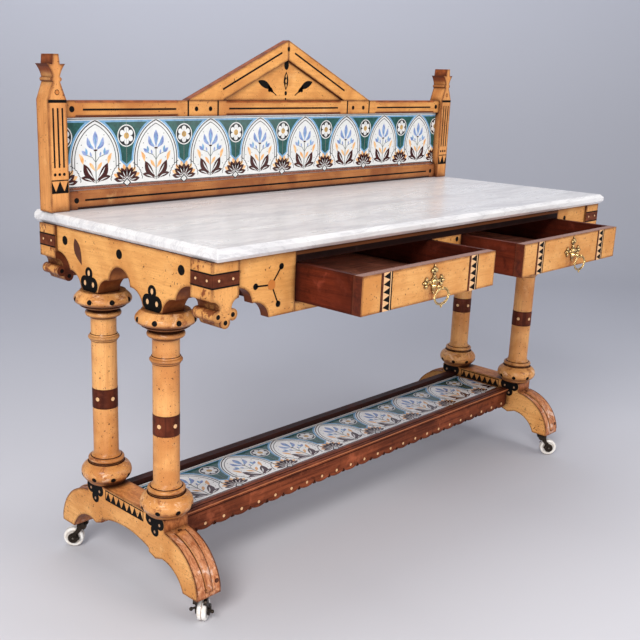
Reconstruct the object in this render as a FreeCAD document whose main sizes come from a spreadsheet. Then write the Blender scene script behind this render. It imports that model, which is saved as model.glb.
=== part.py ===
import FreeCAD, Part
import math
import os
import re

# Marble-topped washstand on turned columns, with a tiled splashback and a tiled tray.
# Millimetres, +Z up, X along the length, the front faces -Y, the two drawers stand open.

SIZES = {
    # white marble slab
    "marble_length": 1302.0,
    "marble_depth": 552.0,
    "marble_thick": 23.0,
    "marble_bevel": 7.0,
    # wall and tray tiles
    "tile_size": 152.4,
    "tile_thick": 9.5,
    "tile_joint": 0.6,
    "tile_count": 8.0,
    "tile_bottom_lap": 8.5,
    "tile_top_lap": 1.9,
    # splashback frame
    "post_width": 40.8,
    "post_depth": 42.0,
    "post_height": 213.0,
    "post_back_margin": 23.8,
    "finial_height": 84.0,
    "rail_setback": 8.6,
    "rail_lip": 11.0,
    "splash_bottom_rail_height": 37.0,
    "splash_top_rail_height": 33.0,
    "rail_chamfer": 5.0,
    "rail_chamfer_stop": 24.0,
    "back_board_thick": 6.0,
    # pediment
    "pediment_half_length": 304.5,
    "pediment_rise": 136.0,
    "rafter_foot": 100.0,
    "pediment_panel_recess": 6.0,
    "pediment_panel_thick": 10.0,
    # frieze under the marble
    "frieze_height": 112.0,
    "marble_end_overhang": 0.4,
    "frame_depth": 521.0,
    "frame_forward": 3.0,
    "bracket_width": 59.4,
    "bracket_depth": 54.9,
    "bracket_straight": 65.0,
    "bracket_neck": 26.6,
    "bracket_roll": 10.4,
    "bracket_roll_spread": 16.3,
    "bracket_roll_drop": 12.0,
    "bracket_proud": 4.0,
    "apron_thick": 50.0,
    "arch_outer_rise": 61.0,
    "arch_inner_rise": 31.0,
    "arch_small_width": 37.0,
    "seat_width": 56.0,
    "front_apron_thick": 20.0,
    "front_apron_length": 138.0,
    "front_arch_big": 34.0,
    "front_arch_small": 40.0,
    "centre_apron_length": 104.0,
    "front_top_rail_height": 22.0,
    "front_bottom_rail_height": 19.0,
    "back_rail_thick": 20.0,
    # drawers
    "drawer_gap": 1.2,
    "drawer_front_thick": 20.0,
    "drawer_side_thick": 11.0,
    "drawer_bottom_thick": 7.0,
    "drawer_bottom_rise": 6.0,
    "drawer_groove": 5.0,
    "drawer_back_drop": 6.0,
    "drawer_length": 430.0,
    "drawer_open": 151.0,
    "slide_gap": 0.3,
    "runner_width": 24.0,
    "runner_height": 14.0,
    "guide_width": 9.0,
    "guide_height": 30.0,
    "kicker_width": 18.0,
    "kicker_height": 12.0,
    # brass ring pulls
    "pull_reach": 24.0,
    "plate_thick": 2.0,
    "plate_arm": 6.0,
    "plate_rise": 28.0,
    "plate_span": 44.0,
    "plate_leaf": 13.0,
    "eye_height": 8.0,
    "eye_width": 6.0,
    "eye_drop": 8.0,
    "eye_bore": 2.1,
    "ring_wire": 2.6,
    "ring_span": 43.6,
    "ring_drop": 30.6,
    "ring_pin": 4.08,
    "ring_pin_length": 7.6,
    # turned columns
    "column_height": 395.0,
    "column_pitch": 194.0,
    "column_inset": 34.6,
    "shaft_width": 50.0,
    "bulb_width": 101.0,
    "bulb_foot": 60.0,
    "bulb_height": 42.0,
    "collar_width": 70.0,
    "collar_height": 17.0,
    "bead_width": 61.0,
    "bead_height": 13.0,
    "neck_ring_width": 70.0,
    "neck_ring_height": 16.0,
    "capital_width": 112.0,
    "capital_top": 88.0,
    "capital_foot": 70.0,
    "capital_height": 36.0,
    "neck_height": 34.0,
    # foot beams
    "beam_thick": 57.0,
    "plinth_step": 25.0,
    "beam_rise": 125.7,
    "toe_reach": 221.0,
    "toe_length": 42.0,
    "toe_front_height": 11.0,
    "foot_arch_rise": 66.7,
    "foot_arch_spring": 51.7,
    "foot_arch_width": 156.0,
    "foot_cusp_width": 40.0,
    "foot_cusp_drop": 7.0,
    # tray between the foot beams
    "tray_rail_thick": 18.0,
    "tray_rail_height": 52.0,
    "tray_rail_proud": 7.0,
    "tray_back_rise": 5.0,
    "tray_rise": 97.7,
    "tray_scallop": 6.0,
    "tray_lip": 3.5,
    "tray_lip_height": 9.0,
    "tray_bed_thick": 12.0,
    "tray_tile_shift": 66.0,
    # casters
    "wheel_width": 44.0,
    "wheel_tread": 19.0,
    "axle_width": 6.0,
    "axle_clearance": 0.06,
    "fork_trail": 14.0,
    "fork_cheek": 2.6,
    "fork_side_gap": 0.6,
    "fork_crown": 4.0,
    "fork_crown_length": 22.0,
    "fork_pad_width": 22.0,
    "fork_pad_thick": 8.0,
    "fork_boss": 13.0,
    "stem_width": 10.0,
    "stem_height": 24.0,
    "stem_clearance": 0.08,
    "stem_end_gap": 2.0,
    "caster_gap": 0.3,
    "wheel_top_gap": 8.0,
}

# Height shares of the finial: neck, top of its bead, wing tip, wing notch.
FINIAL_UP_SHARES = {"neck": 0.40, "bead": 0.50, "wing": 0.79, "notch": 0.77}
# Half-width shares of the post: neck, bead, hollow flare, wing tip, notch, top block.
FINIAL_ACROSS_SHARES = {
    "neck": 0.37,
    "bead": 0.56,
    "flare": 0.58,
    "wing": 1.0,
    "notch": 0.40,
    "block": 0.30,
}
# Shoulder of a toe's curved back along its length and height, and its hollow below the cusp.
TOE_CURVE_SHARES = {"along": 0.66, "down": 0.30, "hollow": 0.72}
# Swivel angle of each caster from +X, as a share of a full turn.
SWIVEL_SHARES = {
    "front_left": 0.10,
    "rear_left": 0.37,
    "front_right": 0.87,
    "rear_right": 0.62,
}
# Height of the widest line of a column's bulb and capital, up from the foot of each.
COLUMN_WIDEST_SHARES = {"bulb": 0.50, "capital": 0.48}
TRAY_SCALLOPS = 24
RING_CORNERS = 20
LEAF_TURN = 45

SIDES = {"left": -1, "right": 1}
ENDS = {"front": -1, "rear": 1}

doc = FreeCAD.newDocument("Washstand")
sheet = doc.addObject("Spreadsheet::Sheet", "Sizes")
for row, (alias, size) in enumerate(SIZES.items(), start=1):
    sheet.set("A%d" % row, alias)
    sheet.set("B%d" % row, str(size))
    sheet.setAlias("B%d" % row, alias)
doc.recompute()


class Measures:
    """The sizes as the sheet gives them, by alias."""


S = Measures()
for alias in SIZES:
    setattr(S, alias, float(sheet.get(alias)))
finished = {}


def vector(x, y, z):
    return FreeCAD.Vector(x, y, z)


def bind(item, prop, formula):
    """Ties a property to sheet cells: each word in the formula is an alias."""
    item.setExpression(prop, re.sub(r"[a-z]\w+", lambda word: "Sizes." + word.group(), formula))


def node(name, item):
    """Registers a finished sub-part under the name of its file."""
    item.Label = name
    finished[name] = item
    return item


def box(name, length, width, height, corner):
    item = doc.addObject("Part::Box", name)
    bind(item, "Length", length)
    bind(item, "Width", width)
    bind(item, "Height", height)
    item.Placement.Base = vector(*corner)
    return item


def cylinder(name, radius, height, start, axis=(0, 0, 1)):
    item = doc.addObject("Part::Cylinder", name)
    bind(item, "Radius", radius)
    bind(item, "Height", height)
    turn = FreeCAD.Rotation(vector(0, 0, 1), vector(*axis))
    item.Placement = FreeCAD.Placement(vector(*start), turn)
    return item


def fuse(name, shapes):
    item = doc.addObject("Part::MultiFuse", name)
    item.Shapes = shapes
    item.Refine = True
    return item


def cut(name, base, tool):
    item = doc.addObject("Part::Cut", name)
    item.Base = base
    item.Tool = tool
    return item


def group(name, items):
    """One node that holds several separate solids."""
    item = doc.addObject("Part::Compound", name)
    item.Links = items
    return node(name, item)


def draw(sketch, outline):
    """Closes an outline of (x, y) corners and (through_x, through_y, x, y) arcs."""
    here = outline[0]
    for step in outline[1:] + [outline[0][-2:]]:
        start = vector(here[-2], here[-1], 0)
        end = vector(step[-2], step[-1], 0)
        if len(step) == 4:
            sketch.addGeometry(Part.Arc(start, vector(step[0], step[1], 0), end))
        elif (end - start).Length > 0:
            sketch.addGeometry(Part.LineSegment(start, end))
        here = step


def origin_plane(body, role):
    return [plane for plane in body.Origin.OriginFeatures if plane.Role == role][0]


def add_sketch(body, name, role, outline):
    sketch = body.newObject("Sketcher::SketchObject", name)
    sketch.AttachmentSupport = (origin_plane(body, role), "")
    sketch.MapMode = "FlatFace"
    draw(sketch, outline)
    return sketch


def add_pad(body, name, role, outline, depth):
    pad = body.newObject("PartDesign::Pad", name + "_pad")
    pad.Profile = add_sketch(body, name + "_outline", role, outline)
    pad.SideType = "Symmetric"
    bind(pad, "Length", depth)
    return pad


def sawn(name, role, outline, depth, middle):
    """A board cut to an outline, with its thickness centred on the sketch plane."""
    body = doc.addObject("PartDesign::Body", name)
    add_pad(body, name, role, outline, depth)
    body.Placement.Base = vector(*middle)
    return node(name, body)


def turned(name, profile):
    """A lathe-turned piece from a closed half profile of (radius, height) steps."""
    body = doc.addObject("PartDesign::Body", name)
    revolution = body.newObject("PartDesign::Revolution", name + "_turning")
    sketch = add_sketch(body, name + "_profile", "XZ_Plane", profile)
    revolution.Profile = sketch
    revolution.ReferenceAxis = (sketch, ["V_Axis"])
    revolution.Angle = 360
    return body


def mirrored(outline, side):
    """The outline as it is for +1 and reflected in X for -1."""
    return [tuple(v * side if i % 2 == 0 else v for i, v in enumerate(step)) for step in outline]


def quarter_out(start, end):
    """A quarter arch from a high point, level at first, then falling steeply to the end."""
    half = math.sqrt(0.5)
    through = (
        start[0] + (end[0] - start[0]) * half,
        end[1] + (start[1] - end[1]) * half,
    )
    return through + end


def quarter_in(start, end):
    """A quarter arch that rises steeply from a low point and levels at its end."""
    half = math.sqrt(0.5)
    through = (
        end[0] + (start[0] - end[0]) * half,
        start[1] + (end[1] - start[1]) * half,
    )
    return through + end


# The frame ends just inside the ends of the marble.
frame_length = S.marble_length - 2 * S.marble_end_overhang
FRAME_LENGTH = "marble_length - 2 * marble_end_overhang"

# Heights, from the floor up.
beam_foot = (
    S.wheel_width
    + S.wheel_top_gap
    + S.fork_crown
    + S.fork_pad_thick
    + S.caster_gap
)
column_foot = beam_foot + S.beam_rise
capital_z = column_foot + S.column_height
marble_foot = capital_z + S.frieze_height
marble_top = marble_foot + S.marble_thick

# Depths. The middle of the marble lies behind the middle of the whole, because the
# drawers and their pulls reach forward of it.
apron_face = -S.frame_depth / 2 - S.frame_forward + S.bracket_proud
drawer_face = apron_face - S.drawer_open
marble_y = -(drawer_face - S.pull_reach + S.marble_depth / 2) / 2
frame_y = marble_y - S.frame_forward
apron_front = marble_y + apron_face
drawer_front = marble_y + drawer_face
frame_front = frame_y - S.frame_depth / 2
frame_back = frame_y + S.frame_depth / 2
beam_x = frame_length / 2 - S.column_inset
beam_inner = beam_x - S.beam_thick / 2


def marble():
    half_length = S.marble_length / 2
    half_depth = S.marble_depth / 2
    body = doc.addObject("PartDesign::Body", "marble_top")
    rectangle = [
        (-half_length, -half_depth),
        (half_length, -half_depth),
        (half_length, half_depth),
        (-half_length, half_depth),
    ]
    pad = add_pad(body, "marble_top", "XY_Plane", rectangle, "marble_thick")
    doc.recompute()
    bevels = body.newObject("PartDesign::Chamfer", "marble_bevels")
    edges = []
    for index, edge in enumerate(pad.Shape.Edges, start=1):
        level = edge.BoundBox.ZLength < S.marble_thick / 2
        at_back = edge.BoundBox.YMin > 0
        if level and not at_back:
            edges.append("Edge%d" % index)
    bevels.Base = (pad, edges)
    bind(bevels, "Size", "marble_bevel")
    body.Tip = bevels
    body.Placement.Base = vector(0, marble_y, marble_foot + S.marble_thick / 2)
    node("marble_top", body)


# Splashback, standing on the back of the marble.
splash_half = S.tile_size * S.tile_count / 2
post_front = marble_y + S.marble_depth / 2 - S.post_back_margin - S.post_depth
rail_front = post_front + S.rail_setback
tile_front = rail_front + S.rail_lip
tile_back = tile_front + S.tile_thick
window_foot = marble_top + S.splash_bottom_rail_height
tile_foot = window_foot - S.tile_bottom_lap
window_top = tile_foot + S.tile_size - S.tile_top_lap
splash_top = window_top + S.splash_top_rail_height


def finial_outline():
    half = S.post_width / 2
    at = {}
    for key, share in FINIAL_UP_SHARES.items():
        at[key] = S.post_height + share * S.finial_height
    across = {key: share * half for key, share in FINIAL_ACROSS_SHARES.items()}
    top = S.post_height + S.finial_height
    bead_middle = (at["neck"] + at["bead"]) / 2
    flare = (at["bead"] + at["wing"]) / 2
    right = [
        (half, S.post_height),
        (across["neck"], at["neck"]),
        (across["bead"], bead_middle, across["neck"], at["bead"]),
        (across["flare"], flare, across["wing"], at["wing"]),
        (across["notch"], at["notch"]),
        (across["block"], top),
    ]
    left = mirrored(right, -1)
    return [(half, 0)] + right + backwards(left) + [(-half, 0)]


def backwards(steps):
    """Reverses a run of corners and arcs."""
    turned_steps = [steps[-1][-2:]]
    for later, earlier in zip(reversed(steps), reversed(steps[:-1])):
        turned_steps.append(later[:-2] + earlier[-2:])
    return turned_steps


def splash_posts():
    for side, sign in SIDES.items():
        middle = sign * (splash_half + S.post_width / 2)
        depth_middle = post_front + S.post_depth / 2
        name = "splash_post_" + side
        sawn(name, "XZ_Plane", finial_outline(), "post_depth", (middle, depth_middle, marble_top))


def stop_chamfer(name, start, length, at_top):
    """A wedge that takes a stopped chamfer off the front edge of a rail."""
    item = doc.addObject("Part::Wedge", name)
    item.Xmin = 0
    item.Xmax = length
    item.X2min = S.rail_chamfer
    item.X2max = length - S.rail_chamfer
    item.Ymin = 0
    item.Ymax = S.rail_chamfer
    low = -S.rail_chamfer if at_top else 0
    item.Zmin = low
    item.Zmax = low + S.rail_chamfer
    item.Z2min = 0
    item.Z2max = 0
    item.Placement.Base = vector(*start)
    return item


def chamfer_set(name, foot, top, stretches):
    wedges = []
    for number, (low, high) in enumerate(stretches, start=1):
        for edge, level in (("foot", foot), ("top", top)):
            label = "%s_%s_%d" % (name, edge, number)
            start = (low, rail_front, level)
            wedges.append(stop_chamfer(label, start, high - low, edge == "top"))
    return fuse(name, wedges)


def splash_rails():
    stop = S.rail_chamfer_stop
    back_thick = "tile_thick"
    length = "tile_size * tile_count"
    lip = box(
        "bottom_rail_lip",
        length,
        "rail_lip",
        "splash_bottom_rail_height",
        (-splash_half, rail_front, marble_top),
    )
    rear = box(
        "bottom_rail_rebate",
        length,
        back_thick,
        "splash_bottom_rail_height - tile_bottom_lap",
        (-splash_half, tile_front, marble_top),
    )
    plain = fuse("bottom_rail_plain", [lip, rear])
    stretch = [(-splash_half + stop, splash_half - stop)]
    wedges = chamfer_set("bottom_rail_chamfers", marble_top, window_foot, stretch)
    node("splash_bottom_rail", cut("splash_bottom_rail", plain, wedges))
    lip = box(
        "top_rail_lip",
        length,
        "rail_lip",
        "splash_top_rail_height",
        (-splash_half, rail_front, window_top),
    )
    rear = box(
        "top_rail_rebate",
        length,
        back_thick,
        "splash_top_rail_height - tile_top_lap",
        (-splash_half, tile_front, window_top + S.tile_top_lap),
    )
    plain = fuse("top_rail_plain", [lip, rear])
    inner = S.pediment_half_length - S.rafter_foot
    stretches = [
        (-splash_half + stop, -S.pediment_half_length - stop),
        (-inner + stop / 2, inner - stop / 2),
        (S.pediment_half_length + stop, splash_half - stop),
    ]
    wedges = chamfer_set("top_rail_chamfers", window_top, splash_top, stretches)
    node("splash_top_rail", cut("splash_top_rail", plain, wedges))
    board = box(
        "splash_back_board",
        length,
        "back_board_thick",
        "splash_bottom_rail_height + tile_size + splash_top_rail_height"
        " - tile_bottom_lap - tile_top_lap",
        (-splash_half, tile_back, marble_top),
    )
    node("splash_back_board", board)


def splash_tiles():
    tiles = []
    for number in range(int(S.tile_count)):
        left = -splash_half + number * S.tile_size + S.tile_joint / 2
        tile = box(
            "splash_tile_%d" % (number + 1),
            "tile_size - tile_joint",
            "tile_thick",
            "tile_size",
            (left, tile_front, tile_foot),
        )
        tiles.append(tile)
    group("splash_tiles", tiles)


def pediment():
    half = S.pediment_half_length
    inner = half - S.rafter_foot
    inner_rise = S.pediment_rise * inner / half
    thick = "rail_lip + tile_thick"
    middle_y = rail_front + (S.rail_lip + S.tile_thick) / 2
    for side, sign in SIDES.items():
        outline = mirrored([(inner, 0), (half, 0), (0, S.pediment_rise), (0, inner_rise)], sign)
        name = "pediment_rafter_" + side
        sawn(name, "XZ_Plane", outline, thick, (0, middle_y, splash_top))
    outline = [(-inner, 0), (inner, 0), (0, inner_rise)]
    panel_y = rail_front + S.pediment_panel_recess + S.pediment_panel_thick / 2
    middle = (0, panel_y, splash_top)
    sawn("pediment_panel", "XZ_Plane", outline, "pediment_panel_thick", middle)


# Frieze: corner brackets, sawn end aprons, front aprons and rails.
def corner_bracket(name, middle_x, front_y):
    """A block with a hollowed lower edge and three rolls under its neck."""
    straight_foot = marble_foot - S.bracket_straight
    hollow = (S.bracket_width - S.bracket_neck) / 2
    left = middle_x - S.bracket_width / 2
    block = box(
        name + "_block",
        "bracket_width",
        "bracket_depth",
        "bracket_straight + (bracket_width - bracket_neck) / 2",
        (left, front_y, straight_foot - hollow),
    )
    hollows = []
    for side, sign in SIDES.items():
        start = (middle_x + sign * S.bracket_width / 2, front_y, straight_foot - hollow)
        radius = "(bracket_width - bracket_neck) / 2"
        tool = cylinder(name + "_hollow_" + side, radius, "bracket_depth", start, (0, 1, 0))
        hollows.append(tool)
    head = cut(name + "_head", block, fuse(name + "_hollows", hollows))
    roll_z = straight_foot - hollow - S.bracket_roll
    neck = box(
        name + "_neck",
        "bracket_neck",
        "bracket_depth",
        "bracket_roll + bracket_roll_drop",
        (middle_x - S.bracket_neck / 2, front_y, roll_z - S.bracket_roll_drop),
    )
    rolls = []
    places = {"left": (-1, 0), "right": (1, 0), "foot": (0, 1)}
    for place, (across, down) in places.items():
        roll_x = middle_x + across * S.bracket_roll_spread
        start = (roll_x, front_y, roll_z - down * S.bracket_roll_drop)
        label = name + "_roll_" + place
        roll = cylinder(label, "bracket_roll", "bracket_depth", start, (0, 1, 0))
        rolls.append(roll)
    trimmed = cut(name + "_neck_trimmed", neck, neck_trim(name, middle_x, front_y, roll_z))
    return fuse(name, [head, trimmed] + rolls)


def neck_trim(name, middle_x, front_y, roll_z):
    """Takes off the neck's lower corners, so that only the rolls show below it."""
    corners = []
    for side, sign in SIDES.items():
        low = middle_x + (0 if sign > 0 else -S.bracket_neck / 2)
        shift = sign * S.bracket_roll_spread / 2
        corner = box(
            name + "_trim_" + side,
            "bracket_neck / 2",
            "bracket_depth",
            "bracket_roll_drop",
            (low + shift, front_y, roll_z - S.bracket_roll_drop),
        )
        corners.append(corner)
    return fuse(name + "_trims", corners)


def brackets():
    middle = frame_length / 2 - S.bracket_width / 2
    for end, along in ENDS.items():
        front_y = frame_front if along < 0 else frame_back - S.bracket_depth
        pair = []
        for side, sign in SIDES.items():
            pair.append(corner_bracket("bracket_%s_%s" % (end, side), sign * middle, front_y))
        group("corner_brackets_" + end, pair)


def end_apron_outline():
    """Half bay arches at the brackets, a full bay in the middle, seats on the capitals."""
    half_span = S.frame_depth / 2 - S.bracket_depth
    seat_middle = S.column_pitch / 2
    seat_in = seat_middle - S.seat_width / 2
    seat_out = seat_middle + S.seat_width / 2
    crown_in = seat_in - S.arch_small_width
    crown_out = seat_out + S.arch_small_width
    right = [
        (half_span, S.frieze_height),
        (half_span, S.arch_outer_rise),
        quarter_out((half_span, S.arch_outer_rise), (crown_out, S.arch_inner_rise)),
        quarter_out((crown_out, S.arch_inner_rise), (seat_out, 0)),
        (seat_in, 0),
        quarter_in((seat_in, 0), (crown_in, S.arch_inner_rise)),
        (0, S.arch_outer_rise, -crown_in, S.arch_inner_rise),
        quarter_out((-crown_in, S.arch_inner_rise), (-seat_in, 0)),
        (-seat_out, 0),
        quarter_in((-seat_out, 0), (-crown_out, S.arch_inner_rise)),
        quarter_in((-crown_out, S.arch_inner_rise), (-half_span, S.arch_outer_rise)),
        (-half_span, S.frieze_height),
    ]
    return right


def end_aprons():
    for side, sign in SIDES.items():
        outer = frame_length / 2 - S.bracket_proud
        middle = (sign * (outer - S.apron_thick / 2), frame_y, capital_z)
        sawn("end_apron_" + side, "YZ_Plane", end_apron_outline(), "apron_thick", middle)


apron_outer = frame_length / 2 - S.bracket_width
drawer_outer = apron_outer - S.front_apron_length
drawer_inner = S.centre_apron_length / 2
bottom_rail_top = capital_z + S.front_bottom_rail_height
top_rail_foot = marble_foot - S.front_top_rail_height
apron_back = apron_front + S.front_apron_thick


def front_aprons():
    crown = S.front_apron_length - S.front_arch_big
    foot = crown - S.front_arch_small
    outline = [
        (0, 0),
        (foot, 0),
        quarter_in((foot, 0), (crown, S.arch_inner_rise)),
        quarter_in((crown, S.arch_inner_rise), (S.front_apron_length, S.arch_outer_rise)),
        (S.front_apron_length, S.frieze_height),
        (0, S.frieze_height),
    ]
    middle_y = apron_front + S.front_apron_thick / 2
    for side, sign in SIDES.items():
        middle = (sign * drawer_outer, middle_y, capital_z)
        name = "front_apron_" + side
        sawn(name, "XZ_Plane", mirrored(outline, sign), "front_apron_thick", middle)
    centre = box(
        "front_apron_centre",
        "centre_apron_length",
        "front_apron_thick",
        "frieze_height - front_bottom_rail_height - front_top_rail_height",
        (-drawer_inner, apron_front, bottom_rail_top),
    )
    node("front_apron_centre", centre)


def frieze_rails():
    between = FRAME_LENGTH + " - 2 * bracket_width - 2 * front_apron_length"
    low = box(
        "front_bottom_rail",
        between,
        "front_apron_thick",
        "front_bottom_rail_height",
        (-drawer_outer, apron_front, capital_z),
    )
    node("front_bottom_rail", low)
    high = box(
        "front_top_rail",
        between,
        "front_apron_thick",
        "front_top_rail_height",
        (-drawer_outer, apron_front, top_rail_foot),
    )
    node("front_top_rail", high)
    back = box(
        "back_rail",
        FRAME_LENGTH + " - 2 * bracket_width",
        "back_rail_thick",
        "frieze_height",
        (-apron_outer, back_rail_front, capital_z),
    )
    node("back_rail", back)


back_rail_front = frame_back - S.bracket_proud - S.back_rail_thick

# Drawers, drawn open.
drawer_foot = bottom_rail_top + S.drawer_gap
drawer_top = top_rail_foot - S.drawer_gap
drawer_low_x = drawer_inner + S.drawer_gap
drawer_high_x = drawer_outer - S.drawer_gap
drawer_mid_x = (drawer_low_x + drawer_high_x) / 2
drawer_mid_z = (drawer_foot + drawer_top) / 2
drawer_bays = FRAME_LENGTH + " - 2 * bracket_width - 2 * front_apron_length - centre_apron_length"
drawer_long = "(" + drawer_bays + ") / 2 - 2 * drawer_gap"
drawer_tall = (
    "frieze_height - front_bottom_rail_height - front_top_rail_height - 2 * drawer_gap"
)


def grooved(name, plain, groove):
    return node(name, cut(name, plain, groove))


def drawer(side, sign):
    """A front, two grooved sides, a back and a bottom let into the grooves."""
    name = "drawer_" + side
    low_x = drawer_low_x if sign > 0 else -drawer_high_x
    high_x = drawer_high_x if sign > 0 else -drawer_low_x
    inside_y = drawer_front + S.drawer_front_thick
    bottom_z = drawer_foot + S.drawer_bottom_rise
    plain = box(
        name + "_front_board",
        drawer_long,
        "drawer_front_thick",
        drawer_tall,
        (low_x, drawer_front, drawer_foot),
    )
    groove = box(
        name + "_front_groove",
        drawer_long + " - 2 * drawer_side_thick + 2 * drawer_groove",
        "drawer_groove",
        "drawer_bottom_thick",
        (low_x + S.drawer_side_thick - S.drawer_groove, inside_y - S.drawer_groove, bottom_z),
    )
    grooved(name + "_front", plain, groove)
    for hand, side_x in (("left", low_x), ("right", high_x - S.drawer_side_thick)):
        plain = box(
            "%s_side_%s_board" % (name, hand),
            "drawer_side_thick",
            "drawer_length - drawer_front_thick",
            drawer_tall,
            (side_x, inside_y, drawer_foot),
        )
        groove_x = side_x + (S.drawer_side_thick - S.drawer_groove if hand == "left" else 0)
        groove = box(
            "%s_side_%s_groove" % (name, hand),
            "drawer_groove",
            "drawer_length - drawer_front_thick",
            "drawer_bottom_thick",
            (groove_x, inside_y, bottom_z),
        )
        grooved("%s_side_%s" % (name, hand), plain, groove)
    back = box(
        name + "_back",
        drawer_long + " - 2 * drawer_side_thick",
        "drawer_side_thick",
        drawer_tall + " - drawer_bottom_rise - drawer_bottom_thick - drawer_back_drop",
        (
            low_x + S.drawer_side_thick,
            drawer_front + S.drawer_length - S.drawer_side_thick,
            bottom_z + S.drawer_bottom_thick,
        ),
    )
    node(name + "_back", back)
    bottom = box(
        name + "_bottom",
        drawer_long + " - 2 * drawer_side_thick + 2 * drawer_groove",
        "drawer_length - drawer_front_thick + drawer_groove",
        "drawer_bottom_thick",
        (low_x + S.drawer_side_thick - S.drawer_groove, inside_y - S.drawer_groove, bottom_z),
    )
    node(name + "_bottom", bottom)


def runner(name, edge_x, inward):
    """An L-shaped runner: a ledge under a drawer side and a guide beside it."""
    length = "frame_depth - 2 * bracket_proud - front_apron_thick - back_rail_thick"
    ledge_top = drawer_foot - S.slide_gap
    outer = edge_x - inward * (S.slide_gap + S.guide_width)
    low_x = min(outer, outer + inward * S.runner_width)
    ledge_foot = ledge_top - S.runner_height
    ledge = box(
        name + "_ledge", "runner_width", length, "runner_height", (low_x, apron_back, ledge_foot)
    )
    guide_x = min(outer, outer + inward * S.guide_width)
    guide = box(
        name + "_guide", "guide_width", length, "guide_height", (guide_x, apron_back, ledge_top)
    )
    return fuse(name, [ledge, guide])


def drawer_supports():
    length = "frame_depth - 2 * bracket_proud - front_apron_thick - back_rail_thick"
    runners = []
    kickers = []
    for side, sign in SIDES.items():
        edges = (("inner", drawer_low_x, 1), ("outer", drawer_high_x, -1))
        for place, edge, inward in edges:
            name = "runner_%s_%s" % (side, place)
            runners.append(runner(name, sign * edge, sign * inward))
            low_x = min(sign * edge, sign * edge + sign * inward * S.kicker_width)
            kicker_foot = drawer_top + S.slide_gap
            kicker = box(
                "kicker_%s_%s" % (side, place),
                "kicker_width",
                length,
                "kicker_height",
                (low_x, apron_back, kicker_foot),
            )
            kickers.append(kicker)
    group("drawer_runners", runners)
    group("drawer_kickers", kickers)


def pull(side, sign):
    """A cross-shaped backplate with a post and eye, and an oval ring through the eye."""
    name = "pull_" + side
    middle_x = sign * drawer_mid_x
    eye_z = drawer_mid_z - S.eye_drop
    eye_y = drawer_front - S.pull_reach + S.eye_height / 2
    back_y = drawer_front - S.plate_thick
    pieces = [
        box(
            name + "_arms",
            "plate_span",
            "plate_thick",
            "plate_arm",
            (middle_x - S.plate_span / 2, back_y, drawer_mid_z - S.plate_arm / 2),
        ),
        box(
            name + "_stem",
            "plate_arm",
            "plate_thick",
            "plate_rise + eye_drop",
            (middle_x - S.plate_arm / 2, back_y, eye_z),
        ),
    ]
    tips = {"arm_left": (-1, 0), "arm_right": (1, 0), "top": (0, 1)}
    for tip, (across, up) in tips.items():
        tip_x = middle_x + across * S.plate_span / 2
        tip_z = drawer_mid_z + up * S.plate_rise
        label = "%s_%s_leaf" % (name, tip)
        leaf = box(label, "plate_leaf", "plate_thick", "plate_leaf", (tip_x, back_y, tip_z))
        turn = FreeCAD.Rotation(vector(0, 1, 0), LEAF_TURN)
        corner = turn.multVec(vector(-S.plate_leaf / 2, 0, -S.plate_leaf / 2))
        leaf.Placement = FreeCAD.Placement(vector(tip_x, back_y, tip_z) + corner, turn)
        pieces.append(leaf)
    low_z = eye_z - S.eye_height / 2
    post = box(
        name + "_post",
        "eye_width",
        "pull_reach",
        "eye_height",
        (middle_x - S.eye_width / 2, drawer_front - S.pull_reach, low_z),
    )
    eye_start = (middle_x - S.eye_width / 2, eye_y, eye_z)
    bore = cylinder(name + "_bore", "eye_bore", "eye_width", eye_start, (1, 0, 0))
    node(name + "_plate", cut(name + "_plate", fuse(name + "_solid", pieces + [post]), bore))
    body = doc.addObject("PartDesign::Body", name + "_ring_loop")
    loop = add_pad(body, name + "_ring", "XZ_Plane", oval(S.ring_wire / 2), "ring_wire")
    draw(loop.Profile[0], oval(-S.ring_wire / 2))
    body.Placement.Base = vector(middle_x, eye_y, eye_z)
    pin_start = (middle_x - S.ring_pin_length / 2, eye_y, eye_z)
    pin = cylinder(name + "_ring_pin", "ring_pin / 2", "ring_pin_length", pin_start, (1, 0, 0))
    node(name + "_ring", fuse(name + "_ring", [body, pin]))


def oval(outward):
    """The corners of an oval ring hung from the origin, offset from its middle line."""
    across = S.ring_span / 2 + outward
    down = S.ring_drop / 2 + outward
    corners = []
    for number in range(RING_CORNERS):
        turn = math.tau * (number + 0.5) / RING_CORNERS
        corners.append((across * math.sin(turn), down * math.cos(turn) - S.ring_drop / 2))
    return corners


# Turned columns, front pair and rear pair.
def column_profile():
    shaft = S.shaft_width / 2
    collar = S.collar_width / 2
    bead = S.bead_width / 2
    ring = S.neck_ring_width / 2
    collar_top = S.bulb_height + S.collar_height
    capital_foot = S.column_height - S.capital_height
    ring_foot = capital_foot - S.neck_ring_height
    bead_top = ring_foot - S.neck_height
    bead_foot = bead_top - S.bead_height
    at = COLUMN_WIDEST_SHARES
    return [
        (0, 0),
        (S.bulb_foot / 2, 0),
        (S.bulb_width / 2, S.bulb_height * at["bulb"]),
        (collar, S.bulb_height),
        (collar, collar_top),
        (shaft, collar_top),
        (shaft, bead_foot),
        (bead, bead_foot),
        (bead, bead_top),
        (shaft, bead_top),
        (shaft, ring_foot),
        (ring, ring_foot),
        (ring, capital_foot),
        (S.capital_foot / 2, capital_foot),
        (S.capital_width / 2, capital_foot + S.capital_height * at["capital"]),
        (S.capital_top / 2, S.column_height),
        (0, S.column_height),
    ]


def columns():
    for end, along in ENDS.items():
        pair = []
        for side, sign in SIDES.items():
            body = turned("column_%s_%s" % (end, side), column_profile())
            column_y = frame_y + along * S.column_pitch / 2
            body.Placement.Base = vector(sign * beam_x, column_y, column_foot)
            pair.append(body)
        group("columns_" + end, pair)


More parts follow.
